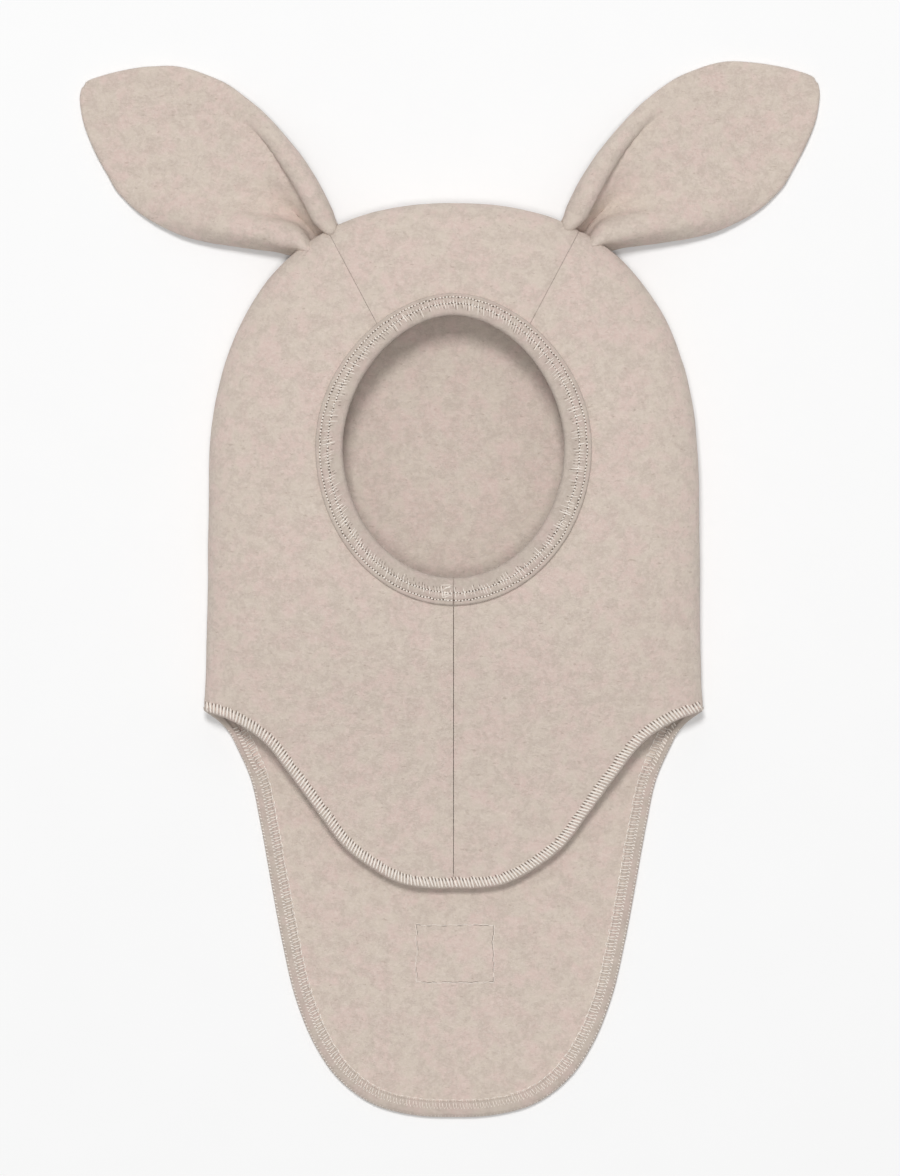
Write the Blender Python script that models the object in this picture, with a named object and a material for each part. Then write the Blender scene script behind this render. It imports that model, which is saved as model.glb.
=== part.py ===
"""A baby's hood hat of felted wool with two leaf-shaped ears, lying on its back.

X runs across the hat, Y from the chin towards the crown and Z up from the surface that it lies on.
The origin is on the resting face, under the middle of the whole hat. All sizes are in metres.
The functions below measure Y from the middle of the face opening, and build() moves the hat at the end.
Left and right are those of someone who looks down on the hat with its crown away from them.
"""

import math

import bmesh
import bpy
from mathutils import Matrix, Vector
from mathutils.bvhtree import BVHTree

# Cloth and sewing
CLOTH = 0.0018
GAP = 0.0003
HEM_ROUND = (2 * CLOTH + GAP) / 2

# Face opening, measured inside its hem
FACE_WIDTH = 0.0874
FACE_HEIGHT = 0.1036
FACE_TOP_POWER = 1.86
FACE_HEM_WIDTH = 0.0112
FACE_HEM_TOP_WIDTH = 0.0090

# Hood, measured outside
HOOD_WIDTH = 0.1960
HOOD_DEPTH = 0.0314
CROWN_HEIGHT = 0.0975
WIDEST_DROP = 0.0200
TIP_DROP = 0.1063
SIDE_SPREAD = 0.0014
TIP_FLARE = 0.0012
TIP_RUN = 0.0140
OUTLINE_POWER = 2.4
DOME_POWER = 2.6

# Rounded fold down each side, from the front of the hood to the back
FOLD_HEIGHT = 0.0140
TIP_FOLD_HEIGHT = 0.0092
FOLD_REACH = 0.0145
TIP_SEAM_RUN = 0.0190
TIP_BLEND_RUN = 0.0250

# Crown seams, which run from the face opening to the ears
SEAM_SPREAD = 0.0510
SEAM_FACE_ANGLE = math.radians(142.5)
TIP_FACE_ANGLE = math.radians(58.0)

# Bibs below the tips
FRONT_BIB_LENGTH = 0.0710
FRONT_HEM_HEIGHT = 0.0105
BACK_BIB_LENGTH = 0.1627
NECK_HEM_WIDTH = 0.0065
TIP_HEM_WIDTH = 0.0045
TIP_HEM_RUN = 0.0060
HEM_BLEND_RUN = 0.0140
BIB_CORNER = 0.86

# Ears
EAR_LENGTH = 0.1118
EAR_WIDTH = 0.0600
EAR_ANGLE = math.radians(33.3)
EAR_SPREAD = 0.0545
EAR_LEAN = 0.0014
EAR_BASE_HEIGHT = 0.0062
EAR_REST_SHARE = 0.62

# Front hem from the middle to the tip: half width as a share of the tip's, drop as a share of the front bib
FRONT_HEM = (
    {"width": 0.000, "drop": 1.000},
    {"width": 0.100, "drop": 0.999},
    {"width": 0.194, "drop": 0.980},
    {"width": 0.335, "drop": 0.879},
    {"width": 0.426, "drop": 0.781},
    {"width": 0.553, "drop": 0.551},
    {"width": 0.645, "drop": 0.372},
    {"width": 0.779, "drop": 0.144},
    {"width": 0.913, "drop": 0.036},
    {"width": 1.000, "drop": 0.000},
)

# Back hem from the tip to the middle: half width as a share of the tip's, drop as a share of the back bib
BACK_HEM = (
    {"width": 1.000, "drop": 0.000},
    {"width": 0.941, "drop": 0.024},
    {"width": 0.901, "drop": 0.049},
    {"width": 0.858, "drop": 0.098},
    {"width": 0.815, "drop": 0.159},
    {"width": 0.775, "drop": 0.269},
    {"width": 0.732, "drop": 0.416},
    {"width": 0.688, "drop": 0.562},
    {"width": 0.631, "drop": 0.709},
    {"width": 0.558, "drop": 0.819},
    {"width": 0.481, "drop": 0.892},
    {"width": 0.329, "drop": 0.966},
    {"width": 0.150, "drop": 0.996},
    {"width": 0.000, "drop": 1.000},
)

# Height of the front along the middle line, from the face opening's centre to the front hem
CREST = (
    {"run": 0.00, "height": 1.00},
    {"run": 0.28, "height": 0.98},
    {"run": 0.45, "height": 0.82},
    {"run": 0.62, "height": 0.50},
    {"run": 0.80, "height": 0.20},
    {"run": 1.00, "height": 0.00},
)

# Ear from its base to its tip: edges on each side of its axis as shares of the width, and how folded it is
EAR_SECTIONS = (
    {"run": -0.10, "lower": 0.120, "upper": 0.140, "fold": 1.00},
    {"run": 0.00, "lower": 0.125, "upper": 0.212, "fold": 1.00},
    {"run": 0.09, "lower": 0.160, "upper": 0.303, "fold": 0.88},
    {"run": 0.20, "lower": 0.266, "upper": 0.395, "fold": 0.56},
    {"run": 0.31, "lower": 0.365, "upper": 0.463, "fold": 0.29},
    {"run": 0.44, "lower": 0.443, "upper": 0.510, "fold": 0.14},
    {"run": 0.57, "lower": 0.476, "upper": 0.543, "fold": 0.08},
    {"run": 0.68, "lower": 0.443, "upper": 0.528, "fold": 0.06},
    {"run": 0.76, "lower": 0.372, "upper": 0.476, "fold": 0.05},
    {"run": 0.84, "lower": 0.290, "upper": 0.380, "fold": 0.04},
    {"run": 0.92, "lower": 0.175, "upper": 0.228, "fold": 0.04},
    {"run": 0.97, "lower": 0.085, "upper": 0.110, "fold": 0.03},
    {"run": 1.00, "lower": 0.032, "upper": 0.040, "fold": 0.03},
)

# Direction of the folded ear's cloth at its base, from the lower edge to the upper one, in degrees
EAR_FOLD = (
    {"run": 0.00, "turn": 55.0},
    {"run": 0.14, "turn": 22.0},
    {"run": 0.24, "turn": -10.0},
    {"run": 0.35, "turn": -42.0},
    {"run": 0.46, "turn": -6.0},
    {"run": 0.60, "turn": 32.0},
    {"run": 0.73, "turn": 74.0},
    {"run": 0.86, "turn": 134.0},
    {"run": 1.00, "turn": 198.0},
)

# Mesh density
HEM_COLUMNS = 14
SIDE_COLUMNS = 16
CROWN_COLUMNS = 12
FRONT_ROWS = 11
FOLD_ROWS = 5
BIB_ROWS = 12
EAR_ROWS = 13
EAR_COLUMNS = 14
ARC_STEPS = 4
CURVE_STEPS = 24
NUDGE = 1e-6

# Values that follow from the sizes above
FLOOR = CLOTH / 2
HALF_WIDTH = HOOD_WIDTH / 2 - CLOTH / 2
CROWN_Y = CROWN_HEIGHT - CLOTH / 2
WIDEST_Y = -WIDEST_DROP
TIP_Y = -TIP_DROP
TIP_HALF_WIDTH = HOOD_WIDTH / 2 + SIDE_SPREAD + TIP_FLARE
HEM_REACH = GAP + HEM_ROUND
EAR_CLEARANCE = CLOTH / 2 + 1.5 * GAP
TIP_WALL_Y = TIP_Y + HEM_REACH
SEAM_OUTLINE_ANGLE = math.acos(min(1.0, (SEAM_SPREAD - CLOTH / 2) / HALF_WIDTH) ** (OUTLINE_POWER / 2))

WOOL = {"colour": (0.62, 0.53, 0.46, 1.0), "roughness": 0.95}
HEM_WOOL = {"colour": (0.66, 0.57, 0.50, 1.0), "roughness": 0.9}


def clear_scene():
    for obj in list(bpy.data.objects):
        bpy.data.objects.remove(obj)


def eased(table, key, run):
    """The table's value at a run, on a smooth curve through its rows."""
    runs = [row["run"] for row in table]
    values = [row[key] for row in table]
    run = min(max(run, runs[0]), runs[-1])
    last = len(runs) - 2
    i = min(last, max(k for k in range(len(runs)) if runs[k] <= run + NUDGE))
    width = runs[i + 1] - runs[i]
    slope = (values[i + 1] - values[i]) / width

    def end_slope(k):
        if k in (0, len(runs) - 1):
            return slope
        before = (values[k] - values[k - 1]) / (runs[k] - runs[k - 1])
        after = (values[k + 1] - values[k]) / (runs[k + 1] - runs[k])
        return 0.0 if before * after <= 0 else 2 * before * after / (before + after)

    t = (run - runs[i]) / width
    start, end = end_slope(i) * width, end_slope(i + 1) * width
    rise = values[i + 1] - values[i]
    return values[i] + t * (start + t * (3 * rise - 2 * start - end + t * (start + end - 2 * rise)))


def smooth_step(share):
    share = min(max(share, 0.0), 1.0)
    return share * share * (3 - 2 * share)


def spline(points):
    """Closely spaced points on a smooth curve through the given ones."""
    gaps = [(b - a).length for a, b in zip(points, points[1:])]
    slopes = [(b - a) / g for a, b, g in zip(points, points[1:], gaps)]
    ends = [slopes[0]]
    for before, after, g, h in zip(slopes, slopes[1:], gaps, gaps[1:]):
        ends.append((before * h + after * g) / (g + h))
    ends.append(slopes[-1])
    line = []
    for i, g in enumerate(gaps):
        for k in range(CURVE_STEPS):
            t = k / CURVE_STEPS
            a, b = points[i], points[i + 1]
            start, end, rise = ends[i] * g, ends[i + 1] * g, b - a
            line.append(a + t * (start + t * (3 * rise - 2 * start - end + t * (start + end - 2 * rise))))
    return line + [points[-1]]


def picked(line, shares):
    """Points of the line at shares of its length."""
    lengths = [0.0]
    for a, b in zip(line, line[1:]):
        lengths.append(lengths[-1] + (b - a).length)
    found = []
    for share in shares:
        goal = min(max(share, 0.0), 1.0) * lengths[-1]
        i = min(len(line) - 2, sum(1 for length in lengths[1:] if length < goal))
        step = lengths[i + 1] - lengths[i]
        t = (goal - lengths[i]) / step if step > 0 else 0.0
        found.append(line[i].lerp(line[i + 1], t))
    return found


def shares(count, power=1.0):
    return [(k / count) ** power for k in range(count + 1)]


def half_curve(table, drop, inset):
    """The right half of a hem's line, from the table's first row to its last, moved in from the edge."""
    points = [Vector((row["width"] * TIP_HALF_WIDTH, TIP_Y - row["drop"] * drop)) for row in table]
    if points[0].x == 0.0:
        mirrored = [Vector((-p.x, p.y)) for p in points[:0:-1]]
        line = spline(mirrored + points)[len(mirrored) * CURVE_STEPS:]
    else:
        mirrored = [Vector((-p.x, p.y)) for p in points[-2::-1]]
        line = spline(points + mirrored)[: (len(points) - 1) * CURVE_STEPS + 1]
    moved = []
    for i, p in enumerate(line):
        along = line[min(i + 1, len(line) - 1)] - line[max(i - 1, 0)]
        normal = Vector((-along.y, along.x)).normalized()
        if normal.y < 0:
            normal = -normal
        moved.append(p + normal * inset)
    return moved


def half_width(y):
    """Half the width of the hood's wall at a height on it, at the middle of the cloth."""
    if y > WIDEST_Y:
        up = min(1.0, (y - WIDEST_Y) / (CROWN_Y - WIDEST_Y))
        return HALF_WIDTH * (1 - up**OUTLINE_POWER) ** (1 / OUTLINE_POWER)
    down = min(1.0, (WIDEST_Y - y) / (WIDEST_Y - TIP_Y))
    flare = min(1.0, max(0.0, 1 - (y - TIP_Y) / TIP_RUN))
    return HALF_WIDTH + SIDE_SPREAD * down + TIP_FLARE * flare**2


def fold_height(y):
    share = smooth_step((y - TIP_Y) / TIP_DROP)
    return TIP_FOLD_HEIGHT + (FOLD_HEIGHT - TIP_FOLD_HEIGHT) * share


def front_height(x, y):
    """Height of the front wall's middle over a point."""
    fold = fold_height(y)
    top = HOOD_DEPTH - CLOTH / 2
    run = -y / (TIP_DROP + FRONT_BIB_LENGTH)
    crest = FRONT_HEM_HEIGHT + (top - FRONT_HEM_HEIGHT) * eased(CREST, "height", run)
    up = min(1.0, max(0.0, (y - WIDEST_Y) / (CROWN_Y - WIDEST_Y)))
    closing = (1 - up**DOME_POWER) ** (1 / DOME_POWER)
    out = min(1.0, abs(x) / max(half_width(max(y, TIP_Y)), NUDGE))
    across = (1 - out**DOME_POWER) ** (1 / DOME_POWER)
    return fold + (crest - fold) * closing * across


def front_point(flat):
    return Vector((flat.x, flat.y, front_height(flat.x, flat.y)))


def outline_from_tip():
    """The right side's outline from the tip of the wall to the top of the crown."""
    straight = [TIP_WALL_Y + (WIDEST_Y - TIP_WALL_Y) * k / 60 for k in range(60)]
    line = [Vector((half_width(y), y)) for y in straight]
    for k in range(121):
        line.append(outline_at(math.radians(90) * k / 120))
    return line


def outline_at(angle):
    """A point of the crown's outline: angle 0 is the widest place and 90 degrees the top."""
    power = 2 / OUTLINE_POWER
    x = HALF_WIDTH * abs(math.cos(angle)) ** power
    y = WIDEST_Y + (CROWN_Y - WIDEST_Y) * math.sin(angle) ** power
    return Vector((math.copysign(x, math.cos(angle)), y))


def side_outline():
    """The right side's outline nodes, from the tip to the crown seam."""
    line = [p for p in outline_from_tip() if p.y < WIDEST_Y or p.x > outline_at(SEAM_OUTLINE_ANGLE).x]
    return picked(line + [outline_at(SEAM_OUTLINE_ANGLE)], shares(SIDE_COLUMNS, 1.35))


def crown_outline():
    """The crown's outline nodes, from the right seam to the left one."""
    span = math.pi - 2 * SEAM_OUTLINE_ANGLE
    line = [outline_at(SEAM_OUTLINE_ANGLE + span * k / 80) for k in range(81)]
    return picked(line, shares(CROWN_COLUMNS))


def inward_directions():
    """The directions towards the middle of the hat from all outline nodes, from the right tip round the crown."""
    side = side_outline()
    nodes = side + crown_outline()[1:] + [Vector((-p.x, p.y)) for p in side[-2::-1]]
    ways = []
    for i in range(len(nodes)):
        along = nodes[min(i + 1, len(nodes) - 1)] - nodes[max(i - 1, 0)]
        ways.append(Vector((-along.y, along.x)).normalized())
    return ways


def face_point(angle, widening=HEM_REACH):
    """The wall's edge at the face opening. Angle 0 is the chin and half a turn the forehead."""
    across, up = math.sin(angle), -math.cos(angle)
    if up > 0:
        across = math.copysign(abs(across) ** (2 / FACE_TOP_POWER), across)
        up = up ** (2 / FACE_TOP_POWER)
    return Vector(((FACE_WIDTH / 2 + widening) * across, (FACE_HEIGHT / 2 + widening) * up))


def face_hem_width(angle):
    return FACE_HEM_TOP_WIDTH + (FACE_HEM_WIDTH - FACE_HEM_TOP_WIDTH) * smooth_step((1.1 + math.cos(angle)) / 0.9)


def fold_turns():
    return [math.pi / 2 * k / FOLD_ROWS for k in range(FOLD_ROWS + 1)]


def under_point(node, direction, turn):
    """A point of the fold under an outline node, after a turn from the outline towards the floor."""
    flat = node + direction * (FOLD_REACH * (1 - math.cos(turn)))
    fold = fold_height(node.y)
    return Vector((flat.x, flat.y, FLOOR + (fold - FLOOR) * (1 - math.sin(turn))))


def tip_path():
    """The wall's edge from the tip, under the fold, to the side seam."""
    line = half_curve(BACK_HEM, BACK_BIB_LENGTH, HEM_REACH)
    total = sum((b - a).length for a, b in zip(line, line[1:]))
    runs = [TIP_SEAM_RUN / total * (1 - math.cos(turn)) for turn in fold_turns()]
    start = side_outline()[0]
    shift = start - line[0]
    path = []
    for turn, run, flat in zip(fold_turns(), runs, picked(line, runs)):
        flat = flat + shift * (1 - run / runs[-1]) ** 2
        height = FLOOR + (fold_height(start.y) - FLOOR) * (1 - math.sin(turn))
        path.append(Vector((flat.x, flat.y, height)))
    return path


def under_rows(seam_gap):
    """The side panel's strip under the fold: a column for each outline node, a row for each turn."""
    nodes = side_outline()
    ways = inward_directions()
    path = tip_path()
    columns = []
    run = 0.0
    for i, node in enumerate(nodes):
        run += (node - nodes[i - 1]).length if i else 0.0
        weight = max(0.0, 1 - run / TIP_BLEND_RUN) ** 2
        column = []
        for k, turn in enumerate(fold_turns()):
            point = under_point(node, ways[i], turn)
            pull = path[k] - under_point(nodes[0], ways[0], turn)
            point += Vector((pull.x, pull.y, 0)) * weight
            column.append(point)
        if seam_gap:
            last = column[-1] - column[-2]
            column[-1] = column[-1] - last.normalized() * seam_gap
        columns.append(column)
    return columns


def face_angles():
    """Angles on the face opening of the side panel's columns, from the chin to the crown seam."""
    hem = [TIP_FACE_ANGLE * s for s in shares(HEM_COLUMNS)]
    side = [TIP_FACE_ANGLE + (SEAM_FACE_ANGLE - TIP_FACE_ANGLE) * s for s in shares(SIDE_COLUMNS)]
    return hem + side[1:]


def hem_nodes():
    """The front hem's nodes at the wall's edge, from the middle to the tip, closer near the tip."""
    line = half_curve(FRONT_HEM, FRONT_BIB_LENGTH, HEM_REACH)
    along = [1 - s for s in shares(HEM_COLUMNS, 1.3)][::-1]
    nodes = picked(line, along)
    return nodes[:-1] + [side_outline()[0]]


def front_column(near, far, steep):
    """Points of the front wall from the face opening to the outline, closer together where it is steep."""
    power = 1 + 0.9 * steep
    return [front_point(near.lerp(far, 1 - (1 - s) ** power)) for s in shares(FRONT_ROWS)]


def side_front():
    """The side panel's front: columns from the face opening to the front hem and the outline."""
    far = hem_nodes() + side_outline()[1:]
    columns = []
    for i, (angle, end) in enumerate(zip(face_angles(), far)):
        steep = smooth_step(i / HEM_COLUMNS)
        columns.append(front_column(face_point(angle), end, steep))
    return columns


def moved_apart(column, beside, distance):
    """The column moved by a distance towards the one beside it."""
    moved = []
    for point, other in zip(column, beside):
        moved.append(point + (other - point).normalized() * distance)
    return moved


def grid(bm, columns):
    """Adds a sheet of faces through columns of points."""
    wide, high = len(columns), len(columns[0])
    made = bmesh.ops.create_grid(bm, x_segments=wide - 1, y_segments=high - 1, size=1.0)["verts"]
    made.sort(key=lambda v: (round(v.co.x, 5), round(v.co.y, 5)))
    for i, column in enumerate(columns):
        for j, point in enumerate(column):
            made[i * high + j].co = point


def turn_faces(bm, facing):
    bmesh.ops.recalc_face_normals(bm, faces=bm.faces)
    bm.normal_update()
    if sum(face.normal.z * face.calc_area() for face in bm.faces) * facing < 0:
        bmesh.ops.reverse_faces(bm, faces=bm.faces)
    bm.normal_update()


def sheet_of(grids, facing, mirrored=False):
    """One sheet of cloth from grids that share edges. Facing is 1 if most of it faces up and -1 if down."""
    bm = bmesh.new()
    for columns in grids:
        grid(bm, columns)
    bmesh.ops.remove_doubles(bm, verts=bm.verts, dist=NUDGE)
    if mirrored:
        bmesh.ops.scale(bm, vec=(-1, 1, 1), verts=bm.verts)
    turn_faces(bm, facing)
    return bm


def side_sheet(mirrored, seam_gap=GAP / 2):
    front = side_front()
    under = under_rows(seam_gap)
    front[0] = moved_apart(front[0], front[1], seam_gap)
    front[-1] = moved_apart(front[-1], front[-2], seam_gap)
    under[-1] = moved_apart(under[-1], under[-2], seam_gap)
    for i, column in enumerate(under):
        column[0] = front[HEM_COLUMNS + i][-1]
    return sheet_of([front, under], 1, mirrored)


def crown_front(seam_gap=GAP / 2):
    """The middle panel's part in front of the crown: columns from the forehead to the outline."""
    span = 2 * (math.pi - SEAM_FACE_ANGLE)
    columns = []
    for share, end in zip(shares(CROWN_COLUMNS), crown_outline()):
        columns.append(front_column(face_point(SEAM_FACE_ANGLE + span * share), end, 1.0))
    columns[0] = moved_apart(columns[0], columns[1], seam_gap)
    columns[-1] = moved_apart(columns[-1], columns[-2], seam_gap)
    return columns


def crown_under(seam_gap=GAP / 2):
    """The middle panel's fold over the top of the crown."""
    ways = inward_directions()[SIDE_COLUMNS:]
    columns = []
    for node, way in zip(crown_outline(), ways):
        columns.append([under_point(node, way, turn) for turn in fold_turns()])
    columns[0] = moved_apart(columns[0], columns[1], seam_gap)
    columns[-1] = moved_apart(columns[-1], columns[-2], seam_gap)
    return columns


def bib_edge():
    """The back bib's wall edge from the side seam to its lower corner, and on to the middle."""
    line = half_curve(BACK_HEM, BACK_BIB_LENGTH, HEM_REACH)
    total = sum((b - a).length for a, b in zip(line, line[1:]))
    start = TIP_SEAM_RUN / total
    side = [start + (BIB_CORNER - start) * s for s in shares(BIB_ROWS)]
    bottom = [BIB_CORNER + (1 - BIB_CORNER) * s for s in shares(CROWN_COLUMNS // 2)]
    return picked(line, side), picked(line, bottom)


def back_rows(top, seam_gap=GAP / 2):
    """The back panel: a transfinite patch between the crown, the side seams and the bib's edge."""
    side_edge, half_bottom = bib_edge()
    right = []
    for column in reversed(under_rows(0.0)):
        inner = (column[-1] - column[-2]).normalized()
        right.append(column[-1] + inner * seam_gap)
    right += [Vector((p.x, p.y, FLOOR)) for p in side_edge[1:]]
    right[0] = top[0]
    left = [Vector((-p.x, p.y, p.z)) for p in right]
    left[0] = top[-1]
    low = [Vector((p.x, p.y, FLOOR)) for p in half_bottom]
    bottom = low + [Vector((-p.x, p.y, p.z)) for p in low[-2::-1]]
    wide, high = len(top) - 1, len(right) - 1
    runs = [0.0]
    for a, b in zip(right, right[1:]):
        runs.append(runs[-1] + abs(b.y - a.y))
    columns = []
    for i in range(wide + 1):
        u = i / wide
        column = []
        for j in range(high + 1):
            v = runs[j] / runs[-1]
            sides = right[j].lerp(left[j], u)
            ends = top[i].lerp(bottom[i], v)
            corners = right[0].lerp(left[0], u).lerp(right[-1].lerp(left[-1], u), v)
            point = sides + ends - corners
            if 0 < i < wide and 0 < j:
                point.z = FLOOR
            column.append(point)
        columns.append(column)
    return columns


def middle_sheet():
    front, under = crown_front(), crown_under()
    for column, end in zip(under, front):
        column[0] = end[-1]
    back = back_rows([column[-1] for column in under])
    return sheet_of([front, under, back], -1)


def add_object(name, bm, finish):
    mesh = bpy.data.meshes.new(name)
    bm.to_mesh(mesh)
    bm.free()
    mesh.shade_smooth()
    mesh.set_sharp_from_angle(angle=math.radians(50))
    obj = bpy.data.objects.new(name, mesh)
    bpy.context.scene.collection.objects.link(obj)
    material = bpy.data.materials.new(name)
    material.use_nodes = True
    shader = material.node_tree.nodes["Principled BSDF"]
    shader.inputs["Base Color"].default_value = finish["colour"]
    shader.inputs["Roughness"].default_value = finish["roughness"]
    shader.inputs["Metallic"].default_value = 0.0
    mesh.materials.append(material)
    return obj


def add_cloth(name, bm, finish, offset=0.0):
    """A wall of cloth with its middle, inner or outer side on the sheet."""
    obj = add_object(name, bm, finish)
    wall = obj.modifiers.new("Cloth", "SOLIDIFY")
    wall.thickness = CLOTH
    wall.offset = offset
    wall.use_even_offset = False
    return obj


def hem_section(leaf_width, side):
    """A turned hem across its line: along the wall from its edge, and height on the side that it turns to."""
    low = CLOTH / 2 + GAP
    high = low + CLOTH
    middle = (high - CLOTH / 2) / 2
    points = [(leaf_width, low), (leaf_width, low + 0.55 * CLOTH), (leaf_width - CLOTH, high)]
    for k in range(ARC_STEPS + 1):
        turn = math.pi * k / ARC_STEPS
        points.append((-GAP - HEM_ROUND * math.sin(turn), middle + HEM_ROUND * math.cos(turn)))
    points.append((-GAP, low))
    return [(s, h * side) for s, h in points]


def swept(stations, sections, closed):
    """A strip with sections along stations, each a point, a direction into the wall and its normal."""
    columns = []
    for (point, into, normal), section in zip(stations, sections):
        ring = [point + into * s + normal * h for s, h in section]
        columns.append(ring + ring[:1])
    if closed:
        columns.append(columns[0])
    bm = bmesh.new()
    grid(bm, columns)
    bmesh.ops.remove_doubles(bm, verts=bm.verts, dist=NUDGE)
    if not closed:
        bmesh.ops.holes_fill(bm, edges=bm.edges, sides=0)
    bmesh.ops.recalc_face_normals(bm, faces=bm.faces)
    return bm


def stations_along(points, inners, closed):
    """Stations for a hem on a wall's edge. Inners are points of the wall a few millimetres from the edge."""
    stations = []
    count = len(points)
    for i, (point, inner) in enumerate(zip(points, inners)):
        after = points[(i + 1) % count] if closed else points[min(i + 1, count - 1)]
        along = (after - points[i - 1 if closed else max(i - 1, 0)]).normalized()
        into = inner - point
        into = (into - along * into.dot(along)).normalized()
        stations.append((point, into, along.cross(into)))
    return stations


def face_hem():
    """The hem round the face opening, turned to the outside, open at the chin seam."""
    chin = GAP / 2 / (FACE_WIDTH / 2 + HEM_REACH)
    span = 2 * (math.pi - SEAM_FACE_ANGLE)
    angles = face_angles()
    angles += [SEAM_FACE_ANGLE + span * s for s in shares(CROWN_COLUMNS)][1:]
    angles += [2 * math.pi - a for a in reversed(face_angles())][1:]
    angles[0], angles[-1] = chin, 2 * math.pi - chin
    points = [front_point(face_point(a)) for a in angles]
    inners = [front_point(face_point(a, FACE_HEM_WIDTH)) for a in angles]
    stations = stations_along(points, inners, closed=False)
    return swept(stations, [hem_section(face_hem_width(a) - HEM_REACH, -1) for a in angles], closed=False)


def front_inners(nodes):
    """Points of the front wall beside its lower edge."""
    inners = []
    for i, node in enumerate(nodes):
        along = nodes[min(i + 1, len(nodes) - 1)] - (nodes[i - 1] if i else Vector((-nodes[1].x, nodes[1].y)))
        inners.append(front_point(node + Vector((-along.y, along.x)).normalized() * TIP_HEM_WIDTH))
    return inners


def back_inners(points):
    """Points of the back panel beside its edge."""
    inners = []
    for i, point in enumerate(points):
        after = points[i + 1] if i + 1 < len(points) else Vector((-points[i - 1].x, point.y, point.z))
        along = after - points[max(i - 1, 0)]
        inners.append(point + Vector((along.y, -along.x, 0)).normalized() * TIP_HEM_WIDTH)
    return inners


def neck_hem_widths(points, first, last):
    """The turned-in width at each point, narrower from the tip to the side seam and close to them."""
    runs = [0.0]
    for a, b in zip(points, points[1:]):
        runs.append(runs[-1] + (b - a).length)
    widths = []
    for run in runs:
        away = max(runs[first] - run, run - runs[last], 0.0)
        share = smooth_step((away - TIP_HEM_RUN) / HEM_BLEND_RUN)
        widths.append(TIP_HEM_WIDTH + (NECK_HEM_WIDTH - TIP_HEM_WIDTH) * share)
    return widths


def neck_hem():
    """The hem round the whole neck edge, turned to the inside: front bib, tips and back bib."""
    nodes = hem_nodes()
    front = [front_point(p) for p in nodes]
    path = tip_path()
    side_edge, half_bottom = bib_edge()
    back = [Vector((p.x, p.y, FLOOR)) for p in side_edge + half_bottom[1:]]
    points = front + path[1:-1] + back
    inners = front_inners(nodes)[:-1] + under_rows(0.0)[1][:-1] + back_inners(back)
    widths = neck_hem_widths(points, len(front) - 1, len(front) + len(path) - 2)
    points += [Vector((-p.x, p.y, p.z)) for p in points[-2:0:-1]]
    inners += [Vector((-p.x, p.y, p.z)) for p in inners[-2:0:-1]]
    widths += widths[-2:0:-1]
    stations = stations_along(points, inners, closed=True)
    return swept(stations, [hem_section(width - HEM_REACH, -1) for width in widths], closed=True)


def ear_section(run):
    """Points across the ear at a share of its length: distance from its axis and height over its lowest."""
    fold = eased(EAR_SECTIONS, "fold", run)
    lower = -EAR_WIDTH * eased(EAR_SECTIONS, "lower", run)
    upper = EAR_WIDTH * eased(EAR_SECTIONS, "upper", run)
    steps = EAR_COLUMNS * 4
    line = [Vector((0.0, 0.0))]
    for k in range(steps):
        turn = math.radians(fold * eased(EAR_FOLD, "turn", (k + 0.5) / steps))
        line.append(line[-1] + Vector((math.cos(turn), math.sin(turn))) / steps)
    left, right = min(p.x for p in line), max(p.x for p in line)
    lowest = min(p.y for p in line)
    grow = (upper - lower) / (right - left)
    points = [Vector((lower + (p.x - left) * grow, (p.y - lowest) * grow)) for p in line]
    return picked(points, shares(EAR_COLUMNS))


def ear_low(run):
    """Height of the lowest place across the ear: it comes down to the surface and rests there."""
    rest = CLOTH + GAP / 2
    return rest + EAR_BASE_HEIGHT * (1 - smooth_step(run / EAR_REST_SHARE))


def ear_axes(spread):
    """The middle of the ear's base on the hood's outline, and the directions along and across the ear."""
    base = outline_at(math.acos(min(1.0, spread / HALF_WIDTH) ** (OUTLINE_POWER / 2)))
    along = Vector((math.cos(EAR_ANGLE), math.sin(EAR_ANGLE), 0))
    across = Vector((-along.y, along.x, 0))
    return Vector((base.x, base.y, 0)), along, across


def ear_point(spread, run, place):
    base, along, across = ear_axes(spread)
    point = base + along * (run * EAR_LENGTH) + across * place.x
    point.z = ear_low(run) + place.y
    return point


def hood_tree():
    """The middle of the hood's wall, facing out, to find where the ears meet it."""
    bm = bmesh.new()
    for columns in (side_front(), under_rows(0.0), crown_front(0.0), crown_under(0.0)):
        grid(bm, columns)
    bmesh.ops.remove_doubles(bm, verts=bm.verts, dist=NUDGE)
    bmesh.ops.recalc_face_normals(bm, faces=bm.faces)
    bm.normal_update()
    if sum(v.normal.x * v.co.x + v.normal.y * v.co.y for v in bm.verts) < 0:
        bmesh.ops.reverse_faces(bm, faces=bm.faces)
    tree = BVHTree.FromBMesh(bm)
    bm.free()
    return tree


def clear_of(tree, point):
    near, normal, _, distance = tree.find_nearest(point)
    return distance > EAR_CLEARANCE and (point - near).dot(normal) > 0


def ear_starts(spread):
    """For each column of the ear, the share of its length at which it is just clear of the hood."""
    tree = hood_tree()
    sides = (-CLOTH - GAP / 2, 0.0, CLOTH + GAP / 2)
    starts = []
    for i in range(EAR_COLUMNS + 1):
        free, blocked = 0.4, -0.1
        while free - blocked > 0.001:
            run = (free + blocked) / 2
            section = ear_section(run)
            along = section[min(i + 1, EAR_COLUMNS)] - section[max(i - 1, 0)]
            normal = Vector((-along.y, along.x)).normalized()
            if all(clear_of(tree, ear_point(spread, run, section[i] + normal * side)) for side in sides):
                free = run
            else:
                blocked = run
        starts.append(free)
    return starts


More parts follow.
